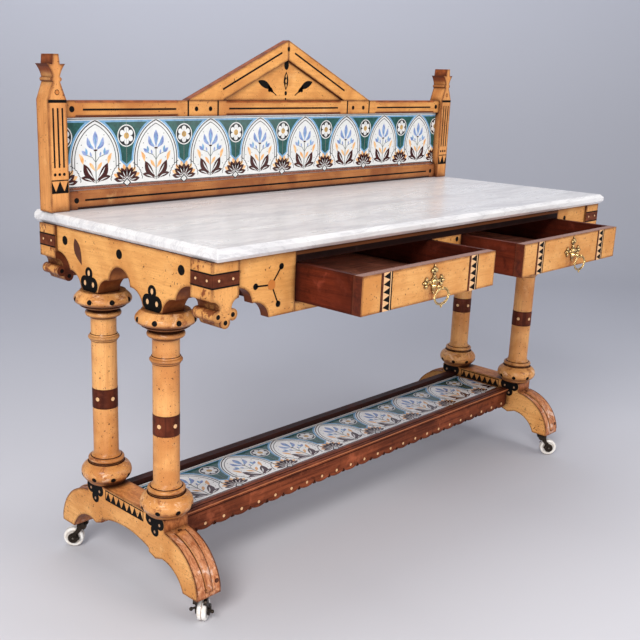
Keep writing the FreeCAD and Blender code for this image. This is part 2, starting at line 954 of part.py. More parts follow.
# Foot beams: two plinths, an arch between them and a curved toe at each end.
def toe_curve(start, end):
    """The back of a toe, from under the plinth down to the toe's front."""
    along = start[0] + (end[0] - start[0]) * TOE_CURVE_SHARES["along"]
    down = start[1] + (end[1] - start[1]) * TOE_CURVE_SHARES["down"]
    return (along, down) + end


def foot_beam_outline():
    plinth = S.column_pitch / 2 + S.beam_thick / 2
    step_z = S.beam_rise - S.plinth_step
    heel = S.toe_reach - S.toe_length
    spring = S.foot_arch_width / 2
    cusp_out = spring + S.foot_cusp_width
    cusp_z = S.foot_arch_spring - S.foot_cusp_drop
    cusp_mid = (spring + cusp_out) / 2
    toe_bend = (heel + cusp_out) / 2
    hollow_z = cusp_z * TOE_CURVE_SHARES["hollow"]
    half = [
        (plinth, S.beam_rise),
        (plinth, step_z),
        toe_curve((plinth, step_z), (S.toe_reach, S.toe_front_height)),
        (S.toe_reach, 0),
        (heel, 0),
        (toe_bend + S.foot_cusp_drop, hollow_z, cusp_out, cusp_z),
        (cusp_mid, cusp_z - S.foot_cusp_drop),
        (spring, cusp_z),
        (spring, S.foot_arch_spring),
    ]
    other = [(-plinth, S.beam_rise), (-plinth, step_z)]
    other.append(tuple_flip(toe_curve((plinth, step_z), (S.toe_reach, S.toe_front_height))))
    other.append((-S.toe_reach, 0))
    other.append((-heel, 0))
    other.append((-toe_bend - S.foot_cusp_drop, hollow_z, -cusp_out, cusp_z))
    other.append((-cusp_mid, cusp_z - S.foot_cusp_drop))
    other.append((-spring, cusp_z))
    other.append((-spring, S.foot_arch_spring))
    arch = (0, S.foot_arch_rise, -spring, S.foot_arch_spring)
    return half + [arch] + backwards(other)[1:]


def tuple_flip(step):
    return tuple(-v if i % 2 == 0 else v for i, v in enumerate(step))


toe_middle = S.toe_reach - S.toe_length / 2


def foot_beams():
    for side, sign in SIDES.items():
        name = "foot_beam_" + side
        body = doc.addObject("PartDesign::Body", name + "_sawn")
        add_pad(body, name, "YZ_Plane", foot_beam_outline(), "beam_thick")
        body.Placement.Base = vector(sign * beam_x, frame_y, beam_foot)
        sockets = []
        for end, along in ENDS.items():
            start = (sign * beam_x, frame_y + along * toe_middle, beam_foot)
            radius = "stem_width / 2 + stem_clearance"
            depth = "stem_height + stem_end_gap"
            sockets.append(cylinder(name + "_socket_" + end, radius, depth, start))
        node(name, cut(name, body, fuse(name + "_sockets", sockets)))


# Tray: two scalloped rails, a bed board and a row of tiles.
tray_half = beam_inner
tray_top = beam_foot + S.tray_rise
tray_bed_foot = tray_top - S.tile_thick - S.tray_bed_thick
rail_top = tray_top + S.tray_rail_proud
tray_front = marble_y - S.tile_size / 2
tray_back = marble_y + S.tile_size / 2


def tray_rail(name, middle_y, outward, scallops, top):
    """A rail with a lip along its top, cut in scallops along its foot where it shows."""
    low = -S.tray_rail_height
    notch = low + S.tray_scallop
    outline = [(tray_half, 0), (tray_half, notch)]
    for number in range(scallops):
        pitch = 2 * tray_half / scallops
        right = tray_half - number * pitch
        outline.append((right - pitch / 2, low, right - pitch, notch))
    outline += [(-tray_half, notch), (-tray_half, 0)]
    board = doc.addObject("PartDesign::Body", name + "_board")
    add_pad(board, name, "XZ_Plane", outline, "tray_rail_thick")
    board.Placement.Base = vector(0, middle_y, top)
    lip_y = middle_y + outward * S.tray_rail_thick / 2
    low_y = min(lip_y, lip_y + outward * S.tray_lip)
    lip = box(
        name + "_lip",
        FRAME_LENGTH + " - 2 * column_inset - beam_thick",
        "tray_lip",
        "tray_lip_height",
        (-tray_half, low_y, top - S.tray_lip_height),
    )
    node(name, fuse(name, [board, lip]))


def tray_tile(number, low, high):
    if high - low < S.tile_size - S.tile_joint:
        length = "%s - tile_joint" % cut_tile_length(low < 0)
    else:
        length = "tile_size - tile_joint"
    return box(
        "tray_tile_%d" % number,
        length,
        "tile_size",
        "tile_thick",
        (low + S.tile_joint / 2, tray_front, tray_top - S.tile_thick),
    )


def cut_tile_length(at_left):
    """The formula for a tile cut to fit between the last joint and a foot beam."""
    side = 1 if at_left else -1
    whole = math.floor((tray_half + side * S.tray_tile_shift) / S.tile_size)
    half_bed = "(%s - 2 * column_inset - beam_thick) / 2" % FRAME_LENGTH
    return "%s %s tray_tile_shift - %d * tile_size" % (half_bed, "+" if at_left else "-", whole)


def tray():
    half_thick = S.tray_rail_thick / 2
    back_top = rail_top + S.tray_back_rise
    tray_rail("tray_front_rail", tray_front - half_thick, -1, TRAY_SCALLOPS, rail_top)
    tray_rail("tray_back_rail", tray_back + half_thick, 1, 0, back_top)
    span = FRAME_LENGTH + " - 2 * column_inset - beam_thick"
    bed = box(
        "tray_bed", span, "tile_size", "tray_bed_thick", (-tray_half, tray_front, tray_bed_foot)
    )
    node("tray_bed", bed)
    whole_tiles = math.floor((tray_half + S.tray_tile_shift) / S.tile_size)
    joint = S.tray_tile_shift - whole_tiles * S.tile_size
    joints = [-tray_half]
    while joint < tray_half:
        joints.append(joint)
        joint += S.tile_size
    joints.append(tray_half)
    tiles = [
        tray_tile(number, low, high)
        for number, (low, high) in enumerate(zip(joints, joints[1:]), start=1)
    ]
    group("tray_tiles", tiles)


# Casters. Each is built round its swivel axis with the wheel trailing along +X.
axle_z = S.wheel_width / 2
crown_foot = S.wheel_width + S.wheel_top_gap
pad_foot = crown_foot + S.fork_crown
cheek_inner = S.wheel_tread / 2 + S.fork_side_gap
cheek_outer = cheek_inner + S.fork_cheek


def wheel_profile():
    radius = S.wheel_width / 2
    half = S.wheel_tread / 2
    bore = S.axle_width / 2 + S.axle_clearance
    return [(bore, -half), (radius, -half), (radius, half), (bore, half)]


def caster_placement(end, side):
    turn = FreeCAD.Rotation(vector(0, 0, 1), 360 * SWIVEL_SHARES["%s_%s" % (end, side)])
    place = vector(SIDES[side] * beam_x, frame_y + ENDS[end] * toe_middle, 0)
    return FreeCAD.Placement(place, turn)


def fork_cheek_outline():
    """A horn that narrows from the crown down to the axle boss."""
    boss = S.fork_boss / 2
    trail = S.fork_trail
    crown_back = S.fork_crown_length - S.fork_pad_width / 2
    crown_front = -S.fork_pad_width / 2
    return [
        (crown_front, pad_foot),
        (crown_front, crown_foot - S.fork_crown),
        (trail - boss, axle_z + boss / 2),
        (trail - boss, axle_z - boss / 2),
        (trail - boss / 2, axle_z - boss),
        (trail + boss / 2, axle_z - boss),
        (trail + boss, axle_z - boss / 2),
        (trail + boss, axle_z + boss / 2),
        (crown_back, crown_foot - S.fork_crown),
        (crown_back, pad_foot),
    ]


def caster(end, side):
    name = "caster_fork_%s_%s" % (end, side)
    placement = caster_placement(end, side)
    pieces = []
    for hand, sign in SIDES.items():
        cheek = doc.addObject("PartDesign::Body", "%s_cheek_%s" % (name, hand))
        add_pad(cheek, cheek.Name, "XZ_Plane", fork_cheek_outline(), "fork_cheek")
        cheek.Placement.Base = vector(0, sign * (cheek_inner + cheek_outer) / 2, 0)
        pieces.append(cheek)
    pieces.append(
        box(
            name + "_crown",
            "fork_crown_length",
            "wheel_tread + 2 * fork_side_gap + 2 * fork_cheek",
            "fork_crown",
            (-S.fork_pad_width / 2, -cheek_outer, crown_foot),
        )
    )
    pieces.append(
        box(
            name + "_pad",
            "fork_pad_width",
            "fork_pad_width",
            "fork_pad_thick",
            (-S.fork_pad_width / 2, -S.fork_pad_width / 2, pad_foot),
        )
    )
    stem_start = (0, 0, pad_foot + S.fork_pad_thick / 2)
    stem_height = "fork_pad_thick / 2 + caster_gap + stem_height"
    pieces.append(cylinder(name + "_stem", "stem_width / 2", stem_height, stem_start))
    axle_start = (S.fork_trail, -cheek_inner - S.fork_cheek / 2, axle_z)
    axle_length = "wheel_tread + 2 * fork_side_gap + fork_cheek"
    pieces.append(cylinder(name + "_axle", "axle_width / 2", axle_length, axle_start, (0, 1, 0)))
    fork = fuse(name, pieces)
    fork.Placement = placement
    node(name, fork)
    wheel = turned("caster_wheel_%s_%s" % (end, side), wheel_profile())
    upright = FreeCAD.Placement(
        vector(S.fork_trail, 0, axle_z), FreeCAD.Rotation(vector(0, 0, 1), vector(0, 1, 0))
    )
    wheel.Placement = placement.multiply(upright)
    node("caster_wheel_%s_%s" % (end, side), wheel)


def check_and_export():
    doc.recompute()
    for item in doc.Objects:
        if "Invalid" in item.State or "Error" in item.State:
            raise RuntimeError("%s did not build: %s" % (item.Name, item.State))
    os.makedirs("parts", exist_ok=True)
    for name, item in finished.items():
        shape = item.Shape
        if shape.isNull() or not shape.isValid():
            raise RuntimeError("%s has no valid shape" % name)
        print("%-28s solids %2d volume %11.1f" % (name, len(shape.Solids), shape.Volume))
        shape.exportStep("parts/%s.step" % name)


marble()
splash_posts()
splash_rails()
splash_tiles()
pediment()
brackets()
end_aprons()
front_aprons()
frieze_rails()
drawer("left", -1)
drawer("right", 1)
drawer_supports()
pull("left", -1)
pull("right", 1)
columns()
foot_beams()
tray()
for caster_end in ENDS:
    for caster_side in SIDES:
        caster(caster_end, caster_side)
check_and_export()
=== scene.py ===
import math
import random

import bmesh
import bpy
from mathutils import Matrix, Vector


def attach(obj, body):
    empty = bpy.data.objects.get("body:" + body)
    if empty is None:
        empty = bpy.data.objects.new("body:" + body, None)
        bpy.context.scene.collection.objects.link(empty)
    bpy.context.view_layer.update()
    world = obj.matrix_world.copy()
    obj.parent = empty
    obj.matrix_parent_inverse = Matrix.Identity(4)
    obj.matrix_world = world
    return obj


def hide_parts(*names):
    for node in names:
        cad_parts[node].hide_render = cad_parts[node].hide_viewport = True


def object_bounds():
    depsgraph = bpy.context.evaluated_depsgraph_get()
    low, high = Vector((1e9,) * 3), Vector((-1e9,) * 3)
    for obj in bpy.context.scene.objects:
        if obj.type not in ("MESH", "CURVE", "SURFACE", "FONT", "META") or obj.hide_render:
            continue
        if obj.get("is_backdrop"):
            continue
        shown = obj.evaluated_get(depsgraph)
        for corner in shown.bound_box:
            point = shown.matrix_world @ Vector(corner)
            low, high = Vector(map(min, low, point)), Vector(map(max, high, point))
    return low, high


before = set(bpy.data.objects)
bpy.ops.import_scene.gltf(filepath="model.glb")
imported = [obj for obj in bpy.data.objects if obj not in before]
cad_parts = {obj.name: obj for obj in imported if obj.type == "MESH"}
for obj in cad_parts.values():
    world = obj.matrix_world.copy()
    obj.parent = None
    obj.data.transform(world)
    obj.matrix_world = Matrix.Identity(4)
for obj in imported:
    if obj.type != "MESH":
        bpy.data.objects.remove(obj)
cad_low, cad_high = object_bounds()
random.seed(7)

# Lengths and places are millimetres in the frame of the CAD model. Materials, lamps and the
# backdrop are in metres.
MM = 0.001
SIDES = {"left": -1, "right": 1}
MARBLE_Y = 79.25
FRAME_Y = 76.25
BEAM_X = 616.0
COLUMN_FOOT = 190.0
COLUMN_YS = {"front": -20.75, "rear": 173.25}
DRAWER_X = 252.6
DRAWER_Y = -331.25
APRON_Y = -180.25
POST_X = 630.0
POST_Y = 289.45
RAIL_Y = 298.05
PANEL_Y = 304.05
TILE_Y = 309.05
END_X = 646.6
BEAM_HALF = 28.5
TRAY_Z = 162.0
TRAY_HALF = 587.5
TRAY_FRONT_Y = -14.95
TRAY_LIP_Y = -18.45


# Materials -----------------------------------------------------------------
class Graph:
    """A material whose nodes are added one after another."""

    def __init__(self, name):
        self.material = bpy.data.materials.new(name)
        self.material.use_nodes = True
        self.tree = self.material.node_tree
        self.tree.nodes.clear()
        self.shader = self.node("ShaderNodeBsdfPrincipled")
        self.node("ShaderNodeOutputMaterial", {"Surface": self.shader})
        self.coords = self.node("ShaderNodeTexCoord")

    def node(self, kind, inputs=None, **settings):
        made = self.tree.nodes.new(kind)
        for key, value in settings.items():
            setattr(made, key, value)
        for key, value in (inputs or {}).items():
            self.put(made.inputs[key], value)
        return made

    def put(self, socket, value):
        """Links a node or an output to a socket, or sets the socket's own value."""
        if isinstance(value, bpy.types.Node):
            value = value.outputs[0]
        if isinstance(value, bpy.types.NodeSocket):
            self.tree.links.new(value, socket)
        else:
            socket.default_value = (*value, 1.0) if socket.type == "RGBA" else value

    def split(self, source, axis):
        parts = self.node("ShaderNodeSeparateXYZ", {"Vector": self.coords.outputs[source]})
        return parts.outputs[axis]

    def at(self, axis):
        """A point's own coordinate."""
        return self.split("Object", axis)

    def towards(self, axis):
        """How far a surface faces along an axis, from -1 to 1."""
        return self.split("Normal", axis)

    def across(self, axis):
        """How far a surface faces along an axis either way, from 0 to 1."""
        return self.math("ABSOLUTE", self.towards(axis))

    def mapping(self, scale=(1, 1, 1), shift=(0, 0, 0), turn=(0, 0, 0)):
        inputs = {"Vector": self.coords.outputs["Object"], "Scale": scale}
        return self.node("ShaderNodeMapping", {**inputs, "Location": shift, "Rotation": turn})

    def noise(self, vector, scale, detail=4.0, rough=0.55, distortion=0.0):
        inputs = {"Vector": vector, "Scale": scale, "Detail": detail, "Roughness": rough}
        return self.node("ShaderNodeTexNoise", {**inputs, "Distortion": distortion}).outputs["Fac"]

    def spots(self, shift, *settings, stretch=(1, 1, 1)):
        """Noise on the object's coordinates, moved so that it agrees with no other."""
        return self.noise(self.mapping(stretch, shift), *settings)

    def ramp(self, factor, low, high, out_low=0.0, out_high=1.0):
        inputs = {"Value": factor, "From Min": low, "From Max": high}
        inputs.update({"To Min": out_low, "To Max": out_high})
        made = self.node("ShaderNodeMapRange", inputs, interpolation_type="SMOOTHSTEP")
        return made.outputs["Result"]

    def hollow(self, distance, low, high, amount, samples=4, **settings):
        """The amount where surfaces within a distance hem a point in, and 0 in the open."""
        inputs = {"Distance": distance}
        made = self.node("ShaderNodeAmbientOcclusion", inputs, samples=samples, **settings)
        return self.ramp(made.outputs["AO"], low, high, amount, 0.0)

    def mix(self, factor, first, second):
        inputs = {0: factor, 6: first, 7: second}
        return self.node("ShaderNodeMix", inputs, data_type="RGBA").outputs[2]

    def layers(self, colour, *pairs):
        """Lays tints over a colour in turn, each by its own factor."""
        for factor, tint in pairs:
            colour = self.mix(factor, colour, tint)
        return colour

    def math(self, operation, first, second=0.0):
        return self.node("ShaderNodeMath", {0: first, 1: second}, operation=operation).outputs[0]

    def times(self, first, second):
        return self.math("MULTIPLY", first, second)

    def bump(self, height, distance, strength):
        inputs = {"Height": height, "Strength": strength, "Distance": distance}
        self.put(self.shader.inputs["Normal"], self.node("ShaderNodeBump", inputs))

    def finish(self, colour, roughness, **constants):
        self.put(self.shader.inputs["Base Color"], colour)
        self.put(self.shader.inputs["Roughness"], roughness)
        for key, value in constants.items():
            name = key.replace("_", " ").title().replace("Ior", "IOR")
            self.shader.inputs[name].default_value = value
        return self.material


def tone(colour, share, lift=0.0):
    return tuple(c * share + lift for c in colour)


def pips(g, scale, share):
    """Small dark marks of uneven shape, in loose drifts, as pins, worm and bruises leave."""
    spot = g.ramp(g.spots((2, 5, 1), scale, 2.0, 0.6, 0.3), 0.665, 0.70)
    drift = g.spots((8, 2, 4), scale * 0.11, 3.0, 0.6)
    return g.times(spot, g.ramp(drift, 0.62 - share * 0.5, 0.70 - share * 0.5))


def hollows(g, colour, near, far, edge, tints, reach=0.060, rim=0.0055):
    """Painted shade in close corners, a deeper painted shade in wider hollows, and darker convex
    edges.
    """
    corner_tint, hollow_shade, rubbed = tints
    # Painted shade: a deeper tone in hollows, then a darker one in close corners.
    colour = g.mix(g.hollow(reach, 0.30, 0.92, far), colour, hollow_shade)
    colour = g.mix(g.hollow(0.014, 0.42, 0.97, near), colour, corner_tint)
    # Convex edges are darker, unevenly.
    edges = g.hollow(rim, 0.56, 0.99, edge, inside=True, only_local=True)
    patchy = g.ramp(g.noise(g.mapping(), 40.0, 3.0, 0.6), 0.30, 0.62, 0.5, 1.0)
    return g.mix(g.times(edges, patchy), colour, rubbed)


# Each of the next six tints the parts of a board that differ from its face.
def sawn(axis, tones, above=None):
    """Edges sawn across the board are redder and darker than its face."""

    def ends(g, colour):
        edge = g.ramp(g.across(axis), 0.70, 0.90, 1.0, 0.0)
        if above is not None:
            edge = g.times(edge, g.ramp(g.at("Z"), above - 0.005, above + 0.005))
        grain = g.spots((1, 3, 2), 1.5, 5.0, 0.65, 0.3, stretch=(25, 25, 25))
        return g.mix(edge, colour, g.mix(g.ramp(grain, 0.35, 0.68), *tones))

    return ends


def stained(g, colour):
    """Red-brown stains where the rolls and the sides of the brackets were handled."""
    side = g.ramp(g.across("Y"), 0.5, 0.85, 1.0, 0.25)
    stain = g.spots((4, 1, 2), 62.0, 5.0, 0.7, 0.5, stretch=(1, 1, 0.6))
    low = g.ramp(g.at("Z"), 0.618, 0.640, 0.085, 0.0)
    amount = g.ramp(g.math("ADD", stain, low), 0.55, 0.62, 0.0, 0.85)
    return g.mix(g.times(amount, side), colour, (0.15, 0.026, 0.010))


def shaded_side(g, colour):
    """Painted shade: the sides that face along the frame are dark mahogany brown below the strap.
    """
    side = g.ramp(g.across("Y"), 0.6, 0.85)
    below = g.ramp(g.at("Z"), 0.644, 0.650, 1.0, 0.0)
    grain = g.ramp(g.noise(g.mapping((30, 30, 30)), 1.6, 4.0, 0.6), 0.4, 0.65)
    dark = g.mix(grain, (0.13, 0.030, 0.012), (0.045, 0.010, 0.005))
    return stained(g, g.mix(g.times(side, below), colour, dark))


def handled(g, colour):
    """Bulbs and capitals are stained red-brown in places and carry pale patches of painted
    highlight in others.
    """
    level = g.at("Z")
    where = g.math("ADD", g.ramp(level, 0.246, 0.256, 1.0, 0.0), g.ramp(level, 0.526, 0.536))
    smudge = g.spots((2, 7, 1), 44.0, 5.0, 0.72, 0.5, stretch=(1, 1, 1.6))
    pale = g.spots((6, 1, 3), 36.0, 5.0, 0.72, 0.5, stretch=(1, 1, 1.3))
    return g.layers(
        colour,
        (g.times(where, g.ramp(smudge, 0.53, 0.64, 0.0, 0.70)), (0.24, 0.060, 0.018)),
        # Pale patches: painted highlight.
        (g.times(where, g.ramp(pale, 0.54, 0.66, 0.0, 0.60)), (0.92, 0.62, 0.40)),
    )


def toe_wear(g, colour):
    """Pink scuffs along the toes, deep orange on the plinths with painted shade on their front and
    back faces, dark bruises low down.
    """
    level = g.at("Z")
    edge = g.ramp(g.across("X"), 0.5, 0.9, 1.0, 0.0)
    scuff = g.noise(g.mapping((70, 30, 30)), 1.9, 7.0, 0.74, 0.8)
    rubbed = g.spots((5, 5, 0), 30.0, 6.0, 0.75, 0.6)
    pink = g.mix(g.ramp(scuff, 0.42, 0.60), (0.60, 0.26, 0.120), (0.36, 0.110, 0.040))
    pink = g.mix(g.ramp(rubbed, 0.54, 0.60, 0.0, 0.75), pink, (0.76, 0.52, 0.41))
    top = g.mix(g.ramp(scuff, 0.38, 0.62), (0.80, 0.34, 0.105), (0.54, 0.18, 0.050))
    front = g.mix(g.ramp(scuff, 0.38, 0.62), (0.50, 0.175, 0.055), (0.25, 0.068, 0.020))
    # Painted shade: the plinth's faces that look to the front and back are darker than its top.
    plinth = g.mix(g.ramp(g.across("Y"), 0.5, 0.8), top, front)
    marks = g.ramp(g.spots((3, 0, 0), 85.0, 5.0, 0.74, 0.9), 0.575, 0.63)
    return g.layers(
        colour,
        (edge, g.mix(g.ramp(level, 0.161, 0.166), pink, plinth)),
        (g.times(marks, g.ramp(level, 0.06, 0.17, 1.0, 0.20)), (0.055, 0.015, 0.007)),
    )


def lit_edge(g, colour):
    """The rail under the marble is brown along its top, its lit edge, and painted shade, near
    black, below.
    """
    return g.mix(g.ramp(g.at("Z"), 0.6865, 0.6885), colour, (0.20, 0.066, 0.022))


def drawer_ends(g, colour):
    """Only the front is veneered, and darker red-brown round its pull: the rest is mahogany board.
    """
    red = g.ramp(g.noise(g.mapping((20, 60, 60)), 1.2, 6.0, 0.68, 0.3), 0.35, 0.68)
    board = g.mix(red, (0.105, 0.019, 0.008), (0.036, 0.007, 0.004))
    board = g.mix(g.ramp(g.towards("Z"), 0.4, 0.7), board, (0.30, 0.16, 0.125))
    # A darker red-brown patch round the pull, uneven with noise.
    aside = g.math("SUBTRACT", g.math("ABSOLUTE", g.at("X")), DRAWER_X * MM)
    down = g.times(g.math("SUBTRACT", g.at("Z"), 0.628), 0.62)
    reach = g.math("SQRT", g.math("ADD", g.times(aside, aside), g.times(down, down)))
    pull_patch = g.spots((5, 2, 2), 60.0, 5.0, 0.7, 0.6, stretch=(1.6, 1, 0.7))
    near = g.ramp(reach, 0.012, 0.030, 1.0, 0.0)
    stain = g.times(near, g.ramp(pull_patch, 0.42, 0.58, 0.1, 0.85))
    veneer = g.mix(stain, colour, (0.36, 0.115, 0.034))
    return g.mix(g.ramp(g.towards("Y"), -0.6, -0.4), veneer, board)


GRAIN = {"x": (3.0, 60.0, 60.0), "y": (60.0, 3.0, 60.0), "z": (60.0, 60.0, 3.0)}
HONEY_LIGHT, HONEY_DARK = (0.80, 0.40, 0.125), (0.57, 0.235, 0.060)
# For each wood: painted shade in close corners, painted shade in hollows, then the tone of darker
# convex edges.
MAPLE_SHADE_TINTS = ((0.022, 0.005, 0.003), (0.17, 0.038, 0.009), (0.095, 0.022, 0.008))
MAHOGANY_SHADE_TINTS = ((0.006, 0.002, 0.002), (0.018, 0.004, 0.003), (0.030, 0.008, 0.005))
# Painted shade for faces that look down.
UNDERSIDE_SHADE = (0.115, 0.025, 0.007)


def maple(name, along, light=HONEY_LIGHT, dark=HONEY_DARK, ends=None, corner_shade=0.85, marks=0.35,
          polish=0.04, rim=0.0055, hollow_shade=0.75):
    """Honey maple: fine grain, soft figure, small dark pips, painted shade in the corners and
    hollows and on faces that look down.
    """
    g = Graph(name)
    stretched = g.mapping(GRAIN[along], (random.uniform(0, 9), random.uniform(0, 9), 0))
    plain = g.mapping(shift=(random.uniform(0, 9), 0, random.uniform(0, 9)))
    streak = g.noise(stretched, 2.6, 6.0, 0.62, 0.25)
    fine = g.noise(stretched, 16.0, 3.0, 0.6)
    blotch = g.noise(plain, 30.0, 5.0, 0.68, 0.4)
    colour = g.layers(
        light,
        (g.ramp(g.noise(plain, 9.0, 3.0, 0.55, 0.6), 0.35, 0.68), dark),
        (g.ramp(streak, 0.42, 0.68, 0.0, 0.45), dark),
        (g.ramp(fine, 0.48, 0.72, 0.0, 0.30), (0.40, 0.14, 0.035)),
        (g.ramp(blotch, 0.58, 0.78, 0.0, 0.45), (0.36, 0.12, 0.03)),
        (g.ramp(g.spots((7, 3, 5), 17.0, 4.0, 0.6), 0.58, 0.76, 0.0, 0.45), (0.86, 0.52, 0.22)),
        (g.times(pips(g, 185.0, marks), 0.88), (0.075, 0.022, 0.010)),
        (g.times(pips(g, 340.0, marks + 0.12), 0.65), (0.20, 0.06, 0.02)),
    )
    if ends:
        colour = ends(g, colour)
    # Painted shade: faces that look down are darker.
    colour = g.mix(g.ramp(g.towards("Z"), -0.80, -0.05, 0.80, 0.0), colour, UNDERSIDE_SHADE)
    # Painted shade in corners and hollows, and darker convex edges.
    colour = hollows(g, colour, corner_shade, hollow_shade, 0.95, MAPLE_SHADE_TINTS, rim=rim)
    g.bump(g.math("ADD", fine, g.times(blotch, 0.6)), 0.00030, 0.55)
    rough = g.ramp(g.math("ADD", streak, g.times(blotch, 0.5)), 0.45, 0.95, 0.33, 0.50)
    shine = {"coat_weight": polish, "coat_roughness": 0.17, "specular_ior_level": 0.16}
    return g.finish(colour, rough, **shine)


def mahogany(name, along, light, dark, ends=None, reach=0.060):
    """Red-brown mahogany: quiet fine grain, mottled where the polish has worn."""
    g = Graph(name)
    stretched = g.mapping(GRAIN[along], (random.uniform(0, 9), random.uniform(0, 9), 0))
    fine = g.noise(stretched, 20.0, 3.0, 0.6)
    patch = g.noise(g.mapping(), 22.0, 5.0, 0.68, 0.3)
    colour = g.layers(
        light,
        (g.ramp(g.noise(stretched, 1.6, 6.0, 0.65, 0.3), 0.36, 0.70), dark),
        (g.ramp(fine, 0.45, 0.75, 0.0, 0.55), dark),
        (g.ramp(patch, 0.52, 0.70, 0.0, 0.70), tone(light, 1.55, 0.012)),
        (g.ramp(patch, 0.30, 0.46, 0.65, 0.0), tone(dark, 0.45)),
        (g.times(pips(g, 300.0, 0.3), 0.7), (0.02, 0.006, 0.004)),
        (g.ramp(g.spots((3, 3, 8), 7.5, 4.0, 0.62), 0.44, 0.62, 0.0, 0.50), tone(dark, 0.7)),
    )
    if ends:
        colour = ends(g, colour)
    # Painted shade in corners and hollows, and darker convex edges.
    colour = hollows(g, colour, 0.85, 0.88, 0.6, MAHOGANY_SHADE_TINTS, reach)
    g.bump(g.math("ADD", fine, patch), 0.00025, 0.5)
    return g.finish(colour, g.ramp(patch, 0.3, 0.8, 0.36, 0.56), specular_ior_level=0.07)


def marble_stone():
    """White marble: soft grey clouds drawn out along the length, a few warm stains, and a painted
    highlight along its edges.
    """
    g = Graph("white_marble")
    along = g.mapping((1.0, 4.5, 4.5), turn=(0, 0, 0.10))
    cloud = g.noise(along, 3.4, 8.0, 0.66, 0.8)
    vein = g.math("ABSOLUTE", g.math("SUBTRACT", g.noise(along, 4.6, 9.0, 0.68, 1.2), 0.5))
    warm = g.spots((4, 2, 1), 4.2, 5.0, 0.62, 0.4, stretch=(1.0, 4.0, 3.0))
    fleck = g.spots((1, 6, 3), 38.0, 5.0, 0.7, 0.5, stretch=(1.0, 2.0, 2.0))
    # Painted highlight: the convex edges are lighter.
    rim = g.hollow(0.004, 0.45, 0.85, 0.5, samples=3, inside=True)
    colour = g.layers(
        (0.80, 0.785, 0.785),
        (g.ramp(cloud, 0.40, 0.66), (0.60, 0.585, 0.60)),
        (g.times(g.ramp(vein, 0.0, 0.030, 1.0, 0.0), 0.40), (0.42, 0.41, 0.43)),
        (g.ramp(warm, 0.52, 0.76, 0.0, 0.45), (0.70, 0.625, 0.59)),
        (g.ramp(fleck, 0.58, 0.76, 0.0, 0.35), (0.50, 0.49, 0.51)),
        (rim, (0.90, 0.89, 0.89)),
    )
    g.bump(g.noise(g.mapping(), 420.0, 2.0), 0.00006, 0.25)
    rough = g.ramp(cloud, 0.3, 0.7, 0.24, 0.38)
    return g.finish(colour, rough, coat_weight=0.08, coat_roughness=0.14)


def glaze(name, colour, vary=0.10, darker=None, stain=0.0):
    """Printed colour under glaze, a little uneven, with a clear gloss."""
    g = Graph(name)
    plain = g.mapping(shift=(random.uniform(0, 9), 1, 2))
    cloud = g.ramp(g.noise(plain, 95.0, 3.0, 0.6), 0.35, 0.70)
    tint = g.mix(cloud, colour, darker or tone(colour, 1.0 - 2.2 * vary))
    if stain:
        craze = g.ramp(g.spots((3, 1, 4), 130.0, 5.0, 0.7, 0.6), 0.57, 0.68, 0.0, 0.55)
        corner = g.hollow(0.008, 0.45, 0.97, stain, samples=3)
        tint = g.layers(tint, (corner, (0.20, 0.11, 0.07)), (craze, (0.34, 0.20, 0.13)))
    g.bump(g.noise(plain, 30.0, 2.0), 0.0003, 0.15)
    shine = {"coat_weight": 0.16, "coat_roughness": 0.06, "specular_ior_level": 0.30}
    return g.finish(tint, 0.20, **shine)


def metal(name, colour, dark, rough, grime=0.6, scale=260.0):
    """Cast metal: bright on the high parts, tarnished in the hollows."""
    g = Graph(name)
    cloud = g.noise(g.mapping(), scale, 4.0, 0.6)
    hollow = g.hollow(0.007, 0.30, 0.92, grime, samples=3)
    # Dark noise patches: tarnish, and on the bright gilt brass also a painted dark reflection.
    tarnish = g.ramp(cloud, 0.40, 0.75, 0.0, 0.6)
    tint = g.layers(colour, (tarnish, dark), (hollow, tone(dark, 0.25)))
    g.bump(cloud, 0.0002, 0.4)
    return g.finish(tint, g.ramp(cloud, 0.3, 0.75, rough, rough + 0.22), metallic=1.0)


def inlay(name, colour, other, rough=0.45, scale=120.0, shine=0.3):
    """A flecked colour for small pieces let into the wood, and for cut lines."""
    g = Graph(name)
    fleck = g.noise(g.mapping(), scale, 4.0, 0.65)
    g.bump(fleck, 0.0002, 0.3)
    tint = g.mix(g.ramp(fleck, 0.5, 0.78), colour, other)
    return g.finish(tint, rough, specular_ior_level=shine)


SIDE_TONES = ((0.36, 0.095, 0.026), (0.15, 0.036, 0.011))
EDGE_TONES = ((0.40, 0.135, 0.036), (0.17, 0.046, 0.014))
# The front aprons' sawn undersides: redder end grain, and very dark as painted shade under the
# arches.
SOFFIT_SHADE_TONES = ((0.105, 0.030, 0.012), (0.045, 0.012, 0.006))
sides = sawn("Y", SIDE_TONES)
# Above 0.984 m the finial's sides take the darker side tones: painted shade in its cupped tiers.
finial_shade = sawn("Y", SIDE_TONES, 0.984)

MAPLE_X = maple("maple_x", "x", (0.80, 0.375, 0.105), (0.55, 0.215, 0.052), sides)
MAPLE_APRON = maple("maple_apron", "x", ends=sawn("Y", SOFFIT_SHADE_TONES))
MAPLE_RAIL = maple(
    "maple_rail", "x", (0.72, 0.33, 0.095), (0.46, 0.165, 0.042), sides, corner_shade=0.95)
